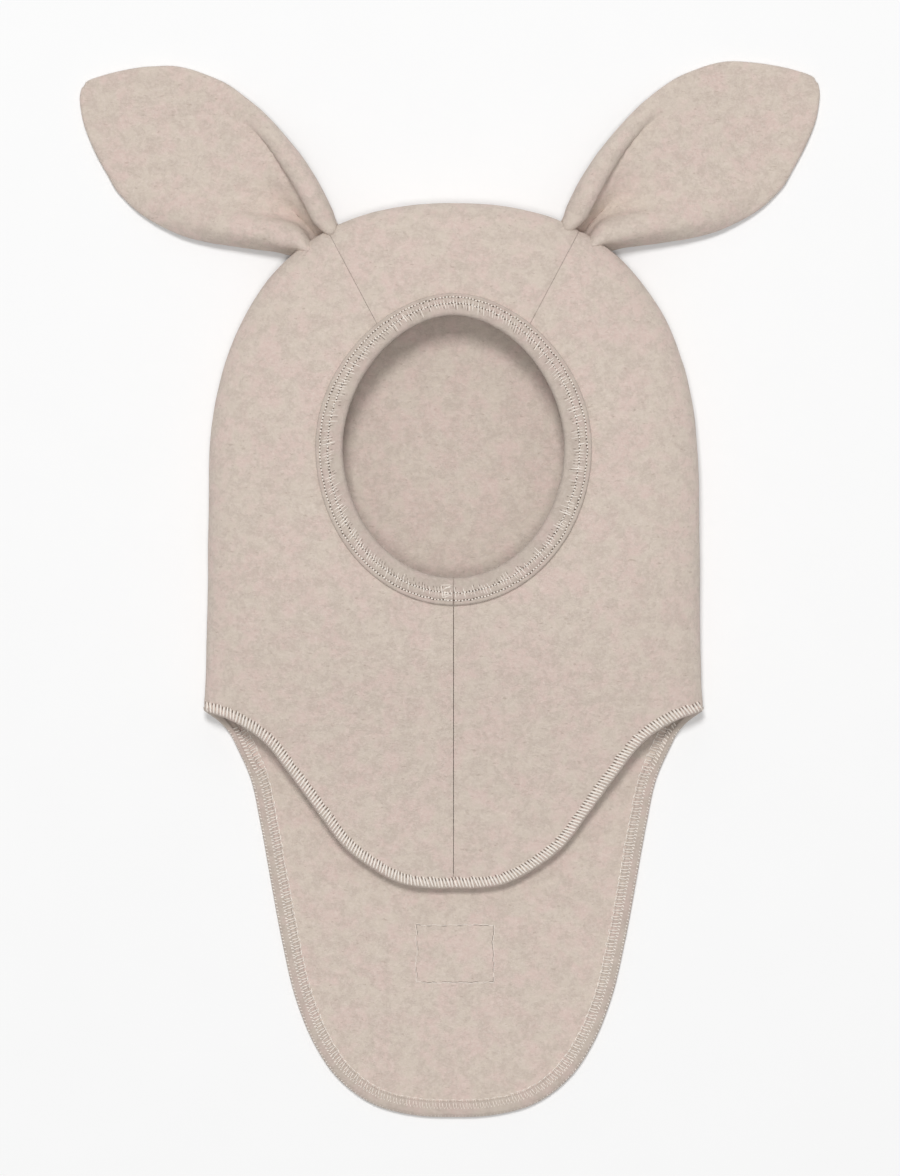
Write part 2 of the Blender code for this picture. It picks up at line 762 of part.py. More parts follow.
def ear_leaf(mirrored, side):
    """One of the ear's two layers. Side is 1 for the front layer and -1 for the back one."""
    spread = EAR_SPREAD + (EAR_LEAN if mirrored else -EAR_LEAN)
    columns = []
    for i, start in enumerate(ear_starts(spread)):
        runs = [start + (1 - start) * (1 - (1 - share) ** 1.25) for share in shares(EAR_ROWS)]
        columns.append([ear_point(spread, run, ear_section(run)[i]) for run in runs])
    bm = bmesh.new()
    grid(bm, columns)
    if mirrored:
        bmesh.ops.scale(bm, vec=(-1, 1, 1), verts=bm.verts)
    turn_faces(bm, 1)
    for v in bm.verts:
        v.co += v.normal * (side * GAP / 2)
    return bm


def move_to_middle():
    """Moves the whole hat so that the origin is under the middle of its box."""
    bpy.context.view_layer.update()
    depsgraph = bpy.context.evaluated_depsgraph_get()
    corners = []
    for obj in bpy.data.objects:
        corners += [Vector(corner) for corner in obj.evaluated_get(depsgraph).bound_box]
    low = Vector([min(corner[k] for corner in corners) for k in range(3)])
    high = Vector([max(corner[k] for corner in corners) for k in range(3)])
    middle = Vector(((low.x + high.x) / 2, (low.y + high.y) / 2, low.z))
    for obj in bpy.data.objects:
        obj.data.transform(Matrix.Translation(-middle))


def build():
    clear_scene()
    add_cloth("crown_and_back_panel", middle_sheet(), WOOL)
    add_cloth("side_panel_right", side_sheet(False), WOOL)
    add_cloth("side_panel_left", side_sheet(True), WOOL)
    add_object("face_hem", face_hem(), HEM_WOOL)
    add_object("neck_hem", neck_hem(), HEM_WOOL)
    for name, mirrored in (("right", False), ("left", True)):
        add_cloth(f"ear_{name}_front", ear_leaf(mirrored, 1), WOOL, 1.0)
        add_cloth(f"ear_{name}_back", ear_leaf(mirrored, -1), WOOL, -1.0)
    move_to_middle()


build()
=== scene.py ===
"""The looks of a baby's hood hat of felted wool with two leaf-shaped ears, lying on its back.

The shape functions measure from the middle of the face opening, as the CAD part's do, with a finer mesh.
A finished piece is then moved by HAT_MOVE to its place in the frame. All sizes are in metres.
"""

import math

import bmesh
import bpy
from mathutils import Matrix, Vector, noise
from mathutils.bvhtree import BVHTree
from mathutils.kdtree import KDTree


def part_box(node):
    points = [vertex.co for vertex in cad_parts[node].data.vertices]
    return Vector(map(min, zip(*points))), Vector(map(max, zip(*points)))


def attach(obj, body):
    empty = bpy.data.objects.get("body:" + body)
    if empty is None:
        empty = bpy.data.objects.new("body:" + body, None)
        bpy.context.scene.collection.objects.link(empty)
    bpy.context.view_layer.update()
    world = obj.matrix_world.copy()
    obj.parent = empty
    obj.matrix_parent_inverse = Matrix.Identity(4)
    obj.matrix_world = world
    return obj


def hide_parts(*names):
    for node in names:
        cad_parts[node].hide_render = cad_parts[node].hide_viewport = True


bl_info = {
    "name": "Wool hood hat",
    "version": (1, 0, 0),
    "blender": (4, 5, 0),
    "location": "View3D > Sidebar > Hood hat",
    "description": "Dresses a hood hat with ears in felted wool and stitching, under soft studio light",
    "category": "Object",
}

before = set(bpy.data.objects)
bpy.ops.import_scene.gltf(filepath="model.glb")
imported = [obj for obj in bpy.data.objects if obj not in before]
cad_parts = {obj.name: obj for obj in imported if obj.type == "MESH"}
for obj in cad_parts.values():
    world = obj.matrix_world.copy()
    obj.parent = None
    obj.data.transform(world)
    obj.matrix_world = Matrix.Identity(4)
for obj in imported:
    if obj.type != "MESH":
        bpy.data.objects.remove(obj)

# Cloth and sewing
CLOTH = 0.0018
GAP = 0.0003
HEM_ROUND = (2 * CLOTH + GAP) / 2
SEAM = 0.00004
CHIN_SEAM = 0.00030
CROWN_SEAM = 0.00018
FLOOR = CLOTH / 2

# Face opening
FACE_WIDTH = 0.0874
FACE_HEIGHT = 0.1036
FACE_TOP_POWER = 1.86
FACE_HEM_WIDTH = 0.0112
FACE_HEM_TOP_WIDTH = 0.0090

# Stitch rows of the face band, as shares of its width from the opening
FACE_ROWS = (0.57, 0.84)

# Hood
HOOD_WIDTH = 0.1960
HOOD_DEPTH = 0.0314
CROWN_HEIGHT = 0.0975
WIDEST_DROP = 0.0200
TIP_DROP = 0.1063
SIDE_SPREAD = 0.0014
TIP_FLARE = 0.0012
TIP_RUN = 0.0140
OUTLINE_POWER = 2.4
DOME_POWER = 2.6

# Rounded fold down each side
FOLD_HEIGHT = 0.0140
TIP_FOLD_HEIGHT = 0.0092
FOLD_REACH = 0.0145
TIP_SEAM_RUN = 0.0190
TIP_BLEND_RUN = 0.0250

# Crown seams
SEAM_SPREAD = 0.0510
SEAM_FACE_ANGLE = math.radians(142.5)
TIP_FACE_ANGLE = math.radians(58.0)

# Bibs. The front hem's middle lies lower than the solid's, close to the back bib as in the photo
FRONT_BIB_LENGTH = 0.0710
FRONT_HEM_HEIGHT = 0.0080
BACK_BIB_LENGTH = 0.1627
NECK_HEM_WIDTH = 0.0065
TIP_HEM_WIDTH = 0.0045
TIP_HEM_RUN = 0.0060
HEM_BLEND_RUN = 0.0140
BIB_CORNER = 0.86

# Ears. Their cloth is thinnest at its edge, and grows to its full thickness over the foot at the hood
EAR_LENGTH = 0.1118
EAR_WIDTH = 0.0600
EAR_ANGLE = math.radians(33.3)
EAR_SPREAD = 0.0545
EAR_LEAN = 0.0014
EAR_SINK = 0.0004
EAR_FOOT = 0.0070
EAR_THINNEST = 0.08
EAR_CLEAR_RUN = 0.4

# Leaves of the turned hems: rounding and pressing of the free end, and the width of a stitch's dent
FACE_HEM_END = 0.0008
FACE_HEM_PRESSED = 0.0003
NECK_HEM_END = 0.0012
NECK_HEM_PRESSED = 0.0010
PRESSED_RUN = 0.0022
DENT_WIDTH = 0.00055

# Heights from which stitches are laid on the cloth: anywhere, on the back hem and round the label
LAY_HEIGHT = 0.1
BACK_LAY_HEIGHT = 0.0075
LABEL_LAY_HEIGHT = 0.004

# Distances between the stitches of the chin seam and of the label's outline
CHIN_PITCH = 0.0026
LABEL_PITCH = 0.0021

# Corners of the stitched outline round the bare label place on the back bib
LABEL_LOW = Vector((-0.0150, -0.2148))
LABEL_HIGH = Vector((0.0162, -0.1916))

# Camera over the hat, and the height of floor that it takes in
CAMERA_HEIGHT = 3.0
CAMERA_Y = 0.0006
VIEW_HEIGHT = 0.4704
VIEW_LEVEL = 0.014

# Front hem from the middle to the tip: half width as a share of the tip's, drop as a share of the front bib
FRONT_HEM = (
    {"width": 0.000, "drop": 1.000},
    {"width": 0.100, "drop": 0.999},
    {"width": 0.194, "drop": 0.980},
    {"width": 0.335, "drop": 0.879},
    {"width": 0.426, "drop": 0.781},
    {"width": 0.553, "drop": 0.551},
    {"width": 0.645, "drop": 0.372},
    {"width": 0.779, "drop": 0.144},
    {"width": 0.913, "drop": 0.036},
    {"width": 1.000, "drop": 0.000},
)

# Back hem from the tip to the middle: half width as a share of the tip's, drop as a share of the back bib
BACK_HEM = (
    {"width": 1.000, "drop": 0.000},
    {"width": 0.941, "drop": 0.024},
    {"width": 0.901, "drop": 0.049},
    {"width": 0.858, "drop": 0.098},
    {"width": 0.815, "drop": 0.159},
    {"width": 0.775, "drop": 0.269},
    {"width": 0.732, "drop": 0.416},
    {"width": 0.688, "drop": 0.562},
    {"width": 0.631, "drop": 0.709},
    {"width": 0.558, "drop": 0.819},
    {"width": 0.481, "drop": 0.892},
    {"width": 0.329, "drop": 0.966},
    {"width": 0.150, "drop": 0.996},
    {"width": 0.000, "drop": 1.000},
)

# Height of the front along the middle line, from the face opening's centre to the front hem
CREST = (
    {"run": 0.00, "height": 1.00},
    {"run": 0.28, "height": 0.98},
    {"run": 0.45, "height": 0.82},
    {"run": 0.62, "height": 0.50},
    {"run": 0.80, "height": 0.20},
    {"run": 1.00, "height": 0.00},
)

# Ear from its base to its tip, in shares of its width: how far its lowest place is off the floor, its lower
# and upper edges, the height of the lobe along the lower edge, the crease beside the lobe, the valley, and
# the free edge and height of the raised strip along the upper edge
EAR_MEASURES = ("run", "low", "lower", "upper", "lobe", "hollow", "valley", "edge", "strip")
EAR_SECTIONS = [dict(zip(EAR_MEASURES, row)) for row in (
    (-0.10, 0.000, -0.120, 0.140, 0.345, -0.040, 0.010, 0.058, 0.316),
    (0.00, 0.000, -0.125, 0.212, 0.308, 0.000, 0.045, 0.106, 0.290),
    (0.05, 0.008, -0.143, 0.264, 0.264, 0.020, 0.070, 0.158, 0.296),
    (0.09, 0.026, -0.166, 0.306, 0.226, 0.024, 0.084, 0.200, 0.290),
    (0.14, 0.054, -0.212, 0.352, 0.178, 0.006, 0.094, 0.250, 0.258),
    (0.20, 0.088, -0.268, 0.401, 0.128, -0.036, 0.100, 0.302, 0.200),
    (0.26, 0.112, -0.322, 0.438, 0.090, -0.084, 0.098, 0.348, 0.136),
    (0.31, 0.120, -0.366, 0.469, 0.063, -0.124, 0.090, 0.382, 0.082),
    (0.44, 0.092, -0.445, 0.532, 0.028, -0.180, 0.090, 0.440, 0.014),
    (0.57, 0.034, -0.475, 0.562, 0.014, -0.170, 0.150, 0.450, 0.000),
    (0.68, 0.000, -0.444, 0.530, 0.010, -0.150, 0.140, 0.430, 0.000),
    (0.76, 0.000, -0.374, 0.479, 0.008, -0.120, 0.120, 0.370, 0.000),
    (0.84, 0.000, -0.293, 0.378, 0.006, -0.090, 0.090, 0.300, 0.000),
    (0.92, 0.000, -0.190, 0.244, 0.004, -0.050, 0.050, 0.185, 0.000),
    (0.97, 0.000, -0.094, 0.142, 0.002, -0.020, 0.040, 0.105, 0.000),
    (0.985, 0.000, -0.058, 0.106, 0.001, 0.000, 0.032, 0.080, 0.000),
    (0.993, 0.000, -0.028, 0.082, 0.000, 0.010, 0.030, 0.065, 0.000),
    (0.998, 0.000, 0.000, 0.060, 0.000, 0.020, 0.030, 0.050, 0.000),
    (1.00, 0.000, 0.020, 0.040, 0.000, 0.027, 0.030, 0.036, 0.000),
)]

# Soft unevenness of the felt: how wide its swells are and how far they move the surface
SWELLS = (
    {"size": 0.042, "rise": 0.00042},
    {"size": 0.015, "rise": 0.00020},
    {"size": 0.006, "rise": 0.00007},
)

# Mesh density
HEM_COLUMNS = 110
SIDE_COLUMNS = 116
CROWN_COLUMNS = 84
FRONT_ROWS = 78
FOLD_ROWS = 12
BIB_ROWS = 110
EAR_ROWS = 74
EAR_COLUMNS = 46
EAR_KNOTS = 550
EAR_STARTS = 24
ARC_STEPS = 14
CURVE_STEPS = 24
FACE_HEM_STEPS = 1000
EDGE_STEPS = (0.0020, 0.0045, 0.0080)
NUDGE = 1e-6

# Values that follow from the sizes above
HALF_WIDTH = HOOD_WIDTH / 2 - CLOTH / 2
CROWN_Y = CROWN_HEIGHT - CLOTH / 2
WIDEST_Y = -WIDEST_DROP
TIP_Y = -TIP_DROP
TIP_HALF_WIDTH = HOOD_WIDTH / 2 + SIDE_SPREAD + TIP_FLARE
HEM_REACH = GAP + HEM_ROUND
TIP_WALL_Y = TIP_Y + HEM_REACH
EAR_BASE_RUN = EAR_SECTIONS[0]["run"]
EAR_RUN_SPAN = 1 - EAR_BASE_RUN
SEAM_OUTLINE_ANGLE = math.acos(min(1.0, (SEAM_SPREAD - CLOTH / 2) / HALF_WIDTH) ** (OUTLINE_POWER / 2))
HAT_MOVE = Vector((
    (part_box("side_panel_left")[0].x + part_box("side_panel_right")[1].x) / 2,
    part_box("crown_and_back_panel")[1].y - CROWN_HEIGHT,
    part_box("crown_and_back_panel")[0].z,
))


class HatCloth(bpy.types.PropertyGroup):
    """Sizes of the felt's surface."""

    seam_dip: bpy.props.FloatProperty(
        name="Seam dip", description="How deep the cloth is drawn in at a seam",
        default=0.00050, unit="LENGTH", precision=5)
    seam_reach: bpy.props.FloatProperty(
        name="Seam reach", description="How far from a seam the cloth is drawn in",
        default=0.0016, unit="LENGTH", precision=5)
    calm_reach: bpy.props.FloatProperty(
        name="Calm reach", description="How far from an edge the cloth's swells begin",
        default=0.012, unit="LENGTH", precision=5)
    rim_round: bpy.props.FloatProperty(
        name="Rim round", description="Width of the rounding at the ears' sewn edges",
        default=0.0019, unit="LENGTH", precision=5)


class HatStitches(bpy.types.PropertyGroup):
    """Sizes of the thread and the stitches."""

    thread: bpy.props.FloatProperty(
        name="Thread", description="Thickness of the hem's overlock thread",
        default=0.00098, unit="LENGTH", precision=5)
    fine_thread: bpy.props.FloatProperty(
        name="Fine thread", description="Thickness of the thread of the other stitches",
        default=0.00034, unit="LENGTH", precision=5)
    bar_pitch: bpy.props.FloatProperty(
        name="Bar pitch", description="Distance from one stitch of the neck hem to the next",
        default=0.00138, unit="LENGTH", precision=5)
    bar_length: bpy.props.FloatProperty(
        name="Bar length", description="Length of a stitch of the neck hem",
        default=0.0039, unit="LENGTH", precision=5)
    face_pitch: bpy.props.FloatProperty(
        name="Face pitch", description="Distance from one stitch of the face hem to the next",
        default=0.00124, unit="LENGTH", precision=5)
    dent: bpy.props.FloatProperty(
        name="Stitch dent", description="How deep the face hem's stitches are drawn in",
        default=0.00050, unit="LENGTH", precision=5)


class HatColours(bpy.types.PropertyGroup):
    """Colours of the wool, the thread, the painted shade at the stitches and the floor."""

    wool: bpy.props.FloatVectorProperty(
        name="Wool", description="Main colour of the wool", subtype="COLOR", size=4,
        default=(0.636, 0.546, 0.466, 1.0))
    wool_warm: bpy.props.FloatVectorProperty(
        name="Warm wool", description="Colour of the wool's warmer patches", subtype="COLOR", size=4,
        default=(0.668, 0.516, 0.466, 1.0))
    wool_grey: bpy.props.FloatVectorProperty(
        name="Grey wool", description="Colour of the wool's cooler patches", subtype="COLOR", size=4,
        default=(0.536, 0.446, 0.384, 1.0))
    wool_light: bpy.props.FloatVectorProperty(
        name="Light wool", description="Colour of the wool's lightest fibres", subtype="COLOR", size=4,
        default=(0.735, 0.640, 0.570, 1.0))
    wool_fleck: bpy.props.FloatVectorProperty(
        name="Flecks", description="Colour of the small dark flecks in the wool", subtype="COLOR", size=4,
        default=(0.400, 0.310, 0.255, 1.0))
    thread: bpy.props.FloatVectorProperty(
        name="Thread", description="Colour of the sewing thread", subtype="COLOR", size=4,
        default=(0.925, 0.850, 0.775, 1.0))
    # Painted shade, not a colour of the cloth: the dark of the needle holes and of the gaps beside stitches
    painted_hole_shade: bpy.props.FloatVectorProperty(
        name="Needle holes", description="Colour of the shade in the needle holes", subtype="COLOR", size=4,
        default=(0.180, 0.130, 0.100, 1.0))
    floor: bpy.props.FloatVectorProperty(
        name="Floor", description="Colour of the floor", subtype="COLOR", size=4,
        default=(0.900, 0.900, 0.900, 1.0))


def eased(table, key, run):
    """The table's value at a run, on a smooth curve through its rows."""
    runs = [row["run"] for row in table]
    values = [row[key] for row in table]
    run = min(max(run, runs[0]), runs[-1])
    last = len(runs) - 2
    i = min(last, max(k for k in range(len(runs)) if runs[k] <= run + NUDGE))
    width = runs[i + 1] - runs[i]
    slope = (values[i + 1] - values[i]) / width

    def end_slope(k):
        if k in (0, len(runs) - 1):
            return slope
        before = (values[k] - values[k - 1]) / (runs[k] - runs[k - 1])
        after = (values[k + 1] - values[k]) / (runs[k + 1] - runs[k])
        return 0.0 if before * after <= 0 else 2 * before * after / (before + after)

    t = (run - runs[i]) / width
    start, end = end_slope(i) * width, end_slope(i + 1) * width
    rise = values[i + 1] - values[i]
    return values[i] + t * (start + t * (3 * rise - 2 * start - end + t * (start + end - 2 * rise)))


def smooth_step(share):
    share = min(max(share, 0.0), 1.0)
    return share * share * (3 - 2 * share)


def spline(points):
    """Closely spaced points on a smooth curve through the given ones."""
    gaps = [(b - a).length for a, b in zip(points, points[1:])]
    slopes = [(b - a) / g for a, b, g in zip(points, points[1:], gaps)]
    ends = [slopes[0]]
    for before, after, g, h in zip(slopes, slopes[1:], gaps, gaps[1:]):
        ends.append((before * h + after * g) / (g + h))
    ends.append(slopes[-1])
    line = []
    for i, g in enumerate(gaps):
        for k in range(CURVE_STEPS):
            t = k / CURVE_STEPS
            a, b = points[i], points[i + 1]
            start, end, rise = ends[i] * g, ends[i + 1] * g, b - a
            line.append(a + t * (start + t * (3 * rise - 2 * start - end + t * (start + end - 2 * rise))))
    return line + [points[-1]]


def length_of(line):
    return sum((b - a).length for a, b in zip(line, line[1:]))


def picked(line, shares):
    """Points of the line at rising shares of its length."""
    goal_length = length_of(line)
    found = []
    i, passed = 0, 0.0
    step = (line[1] - line[0]).length
    for share in shares:
        goal = min(max(share, 0.0), 1.0) * goal_length
        while passed + step < goal and i < len(line) - 2:
            passed += step
            i += 1
            step = (line[i + 1] - line[i]).length
        t = min(1.0, (goal - passed) / step) if step > 0 else 0.0
        found.append(line[i].lerp(line[i + 1], t))
    return found


def shares(count, power=1.0):
    return [(k / count) ** power for k in range(count + 1)]


def edged(values, start, end):
    """The shares with a few more close to their start or end, where a seam bends the cloth."""
    near = list(EDGE_STEPS) if start else []
    near += [1 - step for step in EDGE_STEPS] if end else []
    return sorted(values + near)


HEM_LINEAR = edged(shares(HEM_COLUMNS), True, False)
HEM_TIPWARD = edged([1 - s for s in shares(HEM_COLUMNS, 1.3)], True, False)
SIDE_LINEAR = edged(shares(SIDE_COLUMNS), False, True)
SIDE_TIPWARD = edged(shares(SIDE_COLUMNS, 1.35), False, True)
CROWN_SHARES = edged(shares(CROWN_COLUMNS), True, True)


def half_curve(table, drop, inset):
    """The right half of a hem's line, from the table's first row to its last, moved in from the edge."""
    points = [Vector((row["width"] * TIP_HALF_WIDTH, TIP_Y - row["drop"] * drop)) for row in table]
    if points[0].x == 0.0:
        mirrored = [Vector((-p.x, p.y)) for p in points[:0:-1]]
        line = spline(mirrored + points)[len(mirrored) * CURVE_STEPS:]
    else:
        mirrored = [Vector((-p.x, p.y)) for p in points[-2::-1]]
        line = spline(points + mirrored)[: (len(points) - 1) * CURVE_STEPS + 1]
    moved = []
    for i, p in enumerate(line):
        along = line[min(i + 1, len(line) - 1)] - line[max(i - 1, 0)]
        normal = Vector((-along.y, along.x)).normalized()
        if normal.y < 0:
            normal = -normal
        moved.append(p + normal * inset)
    return moved


def half_width(y):
    """Half the width of the hood's wall at a height on it, at the middle of the cloth."""
    if y > WIDEST_Y:
        up = min(1.0, (y - WIDEST_Y) / (CROWN_Y - WIDEST_Y))
        return HALF_WIDTH * (1 - up**OUTLINE_POWER) ** (1 / OUTLINE_POWER)
    down = min(1.0, (WIDEST_Y - y) / (WIDEST_Y - TIP_Y))
    flare = min(1.0, max(0.0, 1 - (y - TIP_Y) / TIP_RUN))
    return HALF_WIDTH + SIDE_SPREAD * down + TIP_FLARE * flare**2


def fold_height(y):
    share = smooth_step((y - TIP_Y) / TIP_DROP)
    return TIP_FOLD_HEIGHT + (FOLD_HEIGHT - TIP_FOLD_HEIGHT) * share


def front_height(x, y):
    """Height of the front wall's middle over a point."""
    fold = fold_height(y)
    top = HOOD_DEPTH - CLOTH / 2
    run = -y / (TIP_DROP + FRONT_BIB_LENGTH)
    crest = FRONT_HEM_HEIGHT + (top - FRONT_HEM_HEIGHT) * eased(CREST, "height", run)
    up = min(1.0, max(0.0, (y - WIDEST_Y) / (CROWN_Y - WIDEST_Y)))
    closing = (1 - up**DOME_POWER) ** (1 / DOME_POWER)
    out = min(1.0, abs(x) / max(half_width(max(y, TIP_Y)), NUDGE))
    across = (1 - out**DOME_POWER) ** (1 / DOME_POWER)
    return fold + (crest - fold) * closing * across


def front_point(flat):
    return Vector((flat.x, flat.y, front_height(flat.x, flat.y)))


def outline_at(angle):
    """A point of the crown's outline: angle 0 is the widest place and 90 degrees the top."""
    power = 2 / OUTLINE_POWER
    x = HALF_WIDTH * abs(math.cos(angle)) ** power
    y = WIDEST_Y + (CROWN_Y - WIDEST_Y) * math.sin(angle) ** power
    return Vector((math.copysign(x, math.cos(angle)), y))


def side_outline():
    """The right side's outline nodes, from the tip to the crown seam."""
    line = []
    for k in range(60):
        y = TIP_WALL_Y + (WIDEST_Y - TIP_WALL_Y) * k / 60
        line.append(Vector((half_width(y), y)))
    for k in range(200):
        line.append(outline_at(SEAM_OUTLINE_ANGLE * (k / 200) ** 2))
    return picked(line + [outline_at(SEAM_OUTLINE_ANGLE)], SIDE_TIPWARD)


def crown_outline():
    """The crown's outline nodes, from the right seam to the left one."""
    span = math.pi - 2 * SEAM_OUTLINE_ANGLE
    line = [outline_at(SEAM_OUTLINE_ANGLE + span * k / 240) for k in range(241)]
    return picked(line, CROWN_SHARES)


def inward_directions():
    """The directions from all outline nodes into the hat, from the right tip round the crown."""
    side = side_outline()
    nodes = side + crown_outline()[1:] + [Vector((-p.x, p.y)) for p in side[-2::-1]]
    ways = []
    for i in range(len(nodes)):
        along = nodes[min(i + 1, len(nodes) - 1)] - nodes[max(i - 1, 0)]
        ways.append(Vector((-along.y, along.x)).normalized())
    return ways


def face_point(angle, widening=HEM_REACH):
    """The wall's edge at the face opening. Angle 0 is the chin and half a turn the forehead."""
    across, up = math.sin(angle), -math.cos(angle)
    if up > 0:
        across = math.copysign(abs(across) ** (2 / FACE_TOP_POWER), across)
        up = up ** (2 / FACE_TOP_POWER)
    return Vector(((FACE_WIDTH / 2 + widening) * across, (FACE_HEIGHT / 2 + widening) * up))


def face_hem_width(angle):
    share = smooth_step((1.1 + math.cos(angle)) / 0.9)
    return FACE_HEM_TOP_WIDTH + (FACE_HEM_WIDTH - FACE_HEM_TOP_WIDTH) * share


def fold_turns():
    return [math.pi / 2 * k / FOLD_ROWS for k in range(FOLD_ROWS + 1)]


def under_point(node, direction, turn):
    """A point of the fold under an outline node, after a turn from the outline towards the floor."""
    flat = node + direction * (FOLD_REACH * (1 - math.cos(turn)))
    fold = fold_height(node.y)
    return Vector((flat.x, flat.y, FLOOR + (fold - FLOOR) * (1 - math.sin(turn))))


def tip_path():
    """The wall's edge from the tip, under the fold, to the side seam."""
    line = half_curve(BACK_HEM, BACK_BIB_LENGTH, HEM_REACH)
    runs = [TIP_SEAM_RUN / length_of(line) * (1 - math.cos(turn)) for turn in fold_turns()]
    start = side_outline()[0]
    shift = start - line[0]
    path = []
    for turn, run, flat in zip(fold_turns(), runs, picked(line, runs)):
        flat = flat + shift * (1 - run / runs[-1]) ** 2
        height = FLOOR + (fold_height(start.y) - FLOOR) * (1 - math.sin(turn))
        path.append(Vector((flat.x, flat.y, height)))
    return path


def under_rows(seam_gap):
    """The side panel's strip under the fold: a column for each outline node, a row for each turn."""
    nodes = side_outline()
    ways = inward_directions()
    path = tip_path()
    columns = []
    run = 0.0
    for i, node in enumerate(nodes):
        run += (node - nodes[i - 1]).length if i else 0.0
        weight = max(0.0, 1 - run / TIP_BLEND_RUN) ** 2
        column = []
        for k, turn in enumerate(fold_turns()):
            point = under_point(node, ways[i], turn)
            pull = path[k] - under_point(nodes[0], ways[0], turn)
            point += Vector((pull.x, pull.y, 0)) * weight
            column.append(point)
        if seam_gap:
            last = column[-1] - column[-2]
            column[-1] = column[-1] - last.normalized() * seam_gap
        columns.append(column)
    return columns


def hem_nodes():
    """The front hem's nodes at the wall's edge, from the middle to the tip, closer near the tip."""
    line = half_curve(FRONT_HEM, FRONT_BIB_LENGTH, HEM_REACH)
    shift = side_outline()[0] - line[-1]
    nodes = []
    for share, node_place in zip(HEM_TIPWARD, picked(line, HEM_TIPWARD)):
        away = (1 - share) * length_of(line)
        nodes.append(node_place + shift * max(0.0, 1 - away / TIP_BLEND_RUN) ** 2)
    return nodes


def front_column(near, far, steep):
    """Points of the front wall from the face opening to the outline, closer together where it is steep."""
    power = 1.3 + 0.4 * steep
    return [front_point(near.lerp(far, 1 - (1 - s) ** power)) for s in shares(FRONT_ROWS)]


def side_front():
    """The side panel's front: columns from the face opening to the front hem and the outline."""
    span = SEAM_FACE_ANGLE - TIP_FACE_ANGLE
    angles = [TIP_FACE_ANGLE * s for s in HEM_LINEAR] + [TIP_FACE_ANGLE + span * s for s in SIDE_LINEAR][1:]
    far = hem_nodes() + side_outline()[1:]
    columns = []
    for i, (angle, end) in enumerate(zip(angles, far)):
        columns.append(front_column(face_point(angle), end, smooth_step(i / len(HEM_LINEAR))))
    return columns


def part(columns, distance, first=True):
    """Moves the first or last column by a distance from its seam, and the few beside it by less."""
    order = columns if first else columns[::-1]
    steps = len(EDGE_STEPS) + 1
    for k in range(steps):
        share = distance * (1 - k / steps)
        for point, other in zip(order[k], order[steps]):
            point += (other - point).normalized() * share


def grid(bm, columns, weights=None):
    """Adds a sheet of faces through columns of points, and sets a weight at each point if given."""
    layer = bm.verts.layers.deform.verify() if weights else None
    wide, high = len(columns), len(columns[0])
    made = bmesh.ops.create_grid(bm, x_segments=wide - 1, y_segments=high - 1, size=1.0)["verts"]
    made.sort(key=lambda v: (round(v.co.x, 5), round(v.co.y, 5)))
    for i, column in enumerate(columns):
        for j, point in enumerate(column):
            made[i * high + j].co = point
    if weights:
        for i, column in enumerate(weights):
            for j, weight in enumerate(column):
                made[i * high + j][layer][0] = weight


def turn_faces(bm, facing):
    bmesh.ops.recalc_face_normals(bm, faces=bm.faces)
    bm.normal_update()
    if sum(face.normal.z * face.calc_area() for face in bm.faces) * facing < 0:
        bmesh.ops.reverse_faces(bm, faces=bm.faces)
    bm.normal_update()


def swell(point):
    return sum(row["rise"] * noise.noise(point / row["size"]) for row in SWELLS)


def soften(bm, cloth):
    """Draws the sheet in along its edges, and gives the rest of it the felt's soft unevenness."""
    rim = [v.co.copy() for v in bm.verts if v.is_boundary]
    tree = KDTree(len(rim))
    for i, co in enumerate(rim):
        tree.insert(co, i)
    tree.balance()
    moves = []
    for v in bm.verts:
        distance = tree.find(v.co)[2]
        dip = cloth.seam_dip * math.exp(-((distance / cloth.seam_reach) ** 2))
        calm = smooth_step(distance / cloth.calm_reach)
        moves.append(v.normal * (swell(v.co) * calm - dip))
    for v, move in zip(bm.verts, moves):
        v.co += move
        v.co.z = max(v.co.z, FLOOR)


def sheet_of(grids, facing, mirrored=False):
    """One sheet of cloth from grids that share edges. Facing is 1 if most of it faces up and -1 if down."""
    bm = bmesh.new()
    for columns in grids:
        grid(bm, columns)
    bmesh.ops.remove_doubles(bm, verts=bm.verts, dist=NUDGE)
    if mirrored:
        bmesh.ops.scale(bm, vec=(-1, 1, 1), verts=bm.verts)
    turn_faces(bm, facing)
    soften(bm, bpy.context.scene.hat_cloth)
    return bm


def side_sheet(mirrored):
    front = side_front()
    under = under_rows(SEAM / 2)
    part(front, CHIN_SEAM / 2)
    part(front, CROWN_SEAM / 2, first=False)
    part(under, CROWN_SEAM / 2, first=False)
    for i, column in enumerate(under):
        column[0] = front[len(HEM_LINEAR) - 1 + i][-1]
    return sheet_of([front, under], 1, mirrored)


def crown_front():
    """The middle panel's part in front of the crown: columns from the forehead to the outline."""
    span = 2 * (math.pi - SEAM_FACE_ANGLE)
    columns = []
    for share, end in zip(CROWN_SHARES, crown_outline()):
        columns.append(front_column(face_point(SEAM_FACE_ANGLE + span * share), end, 1.0))
    part(columns, CROWN_SEAM / 2)
    part(columns, CROWN_SEAM / 2, first=False)
    return columns


def crown_under():
    """The middle panel's fold over the top of the crown."""
    ways = inward_directions()[len(SIDE_LINEAR) - 1:]
    columns = []
    for node, way in zip(crown_outline(), ways):
        columns.append([under_point(node, way, turn) for turn in fold_turns()])
    part(columns, CROWN_SEAM / 2)
    part(columns, CROWN_SEAM / 2, first=False)
    return columns


def bib_edge():
    """The back bib's wall edge from the side seam to its lower corner, and on to the middle."""
    line = half_curve(BACK_HEM, BACK_BIB_LENGTH, HEM_REACH)
    start = TIP_SEAM_RUN / length_of(line)
    side = [start + (BIB_CORNER - start) * s for s in shares(BIB_ROWS)]
    half = [2 * s for s in CROWN_SHARES if s < 0.5 + NUDGE]
    bottom = [BIB_CORNER + (1 - BIB_CORNER) * s for s in half]
    return picked(line, side), picked(line, bottom)


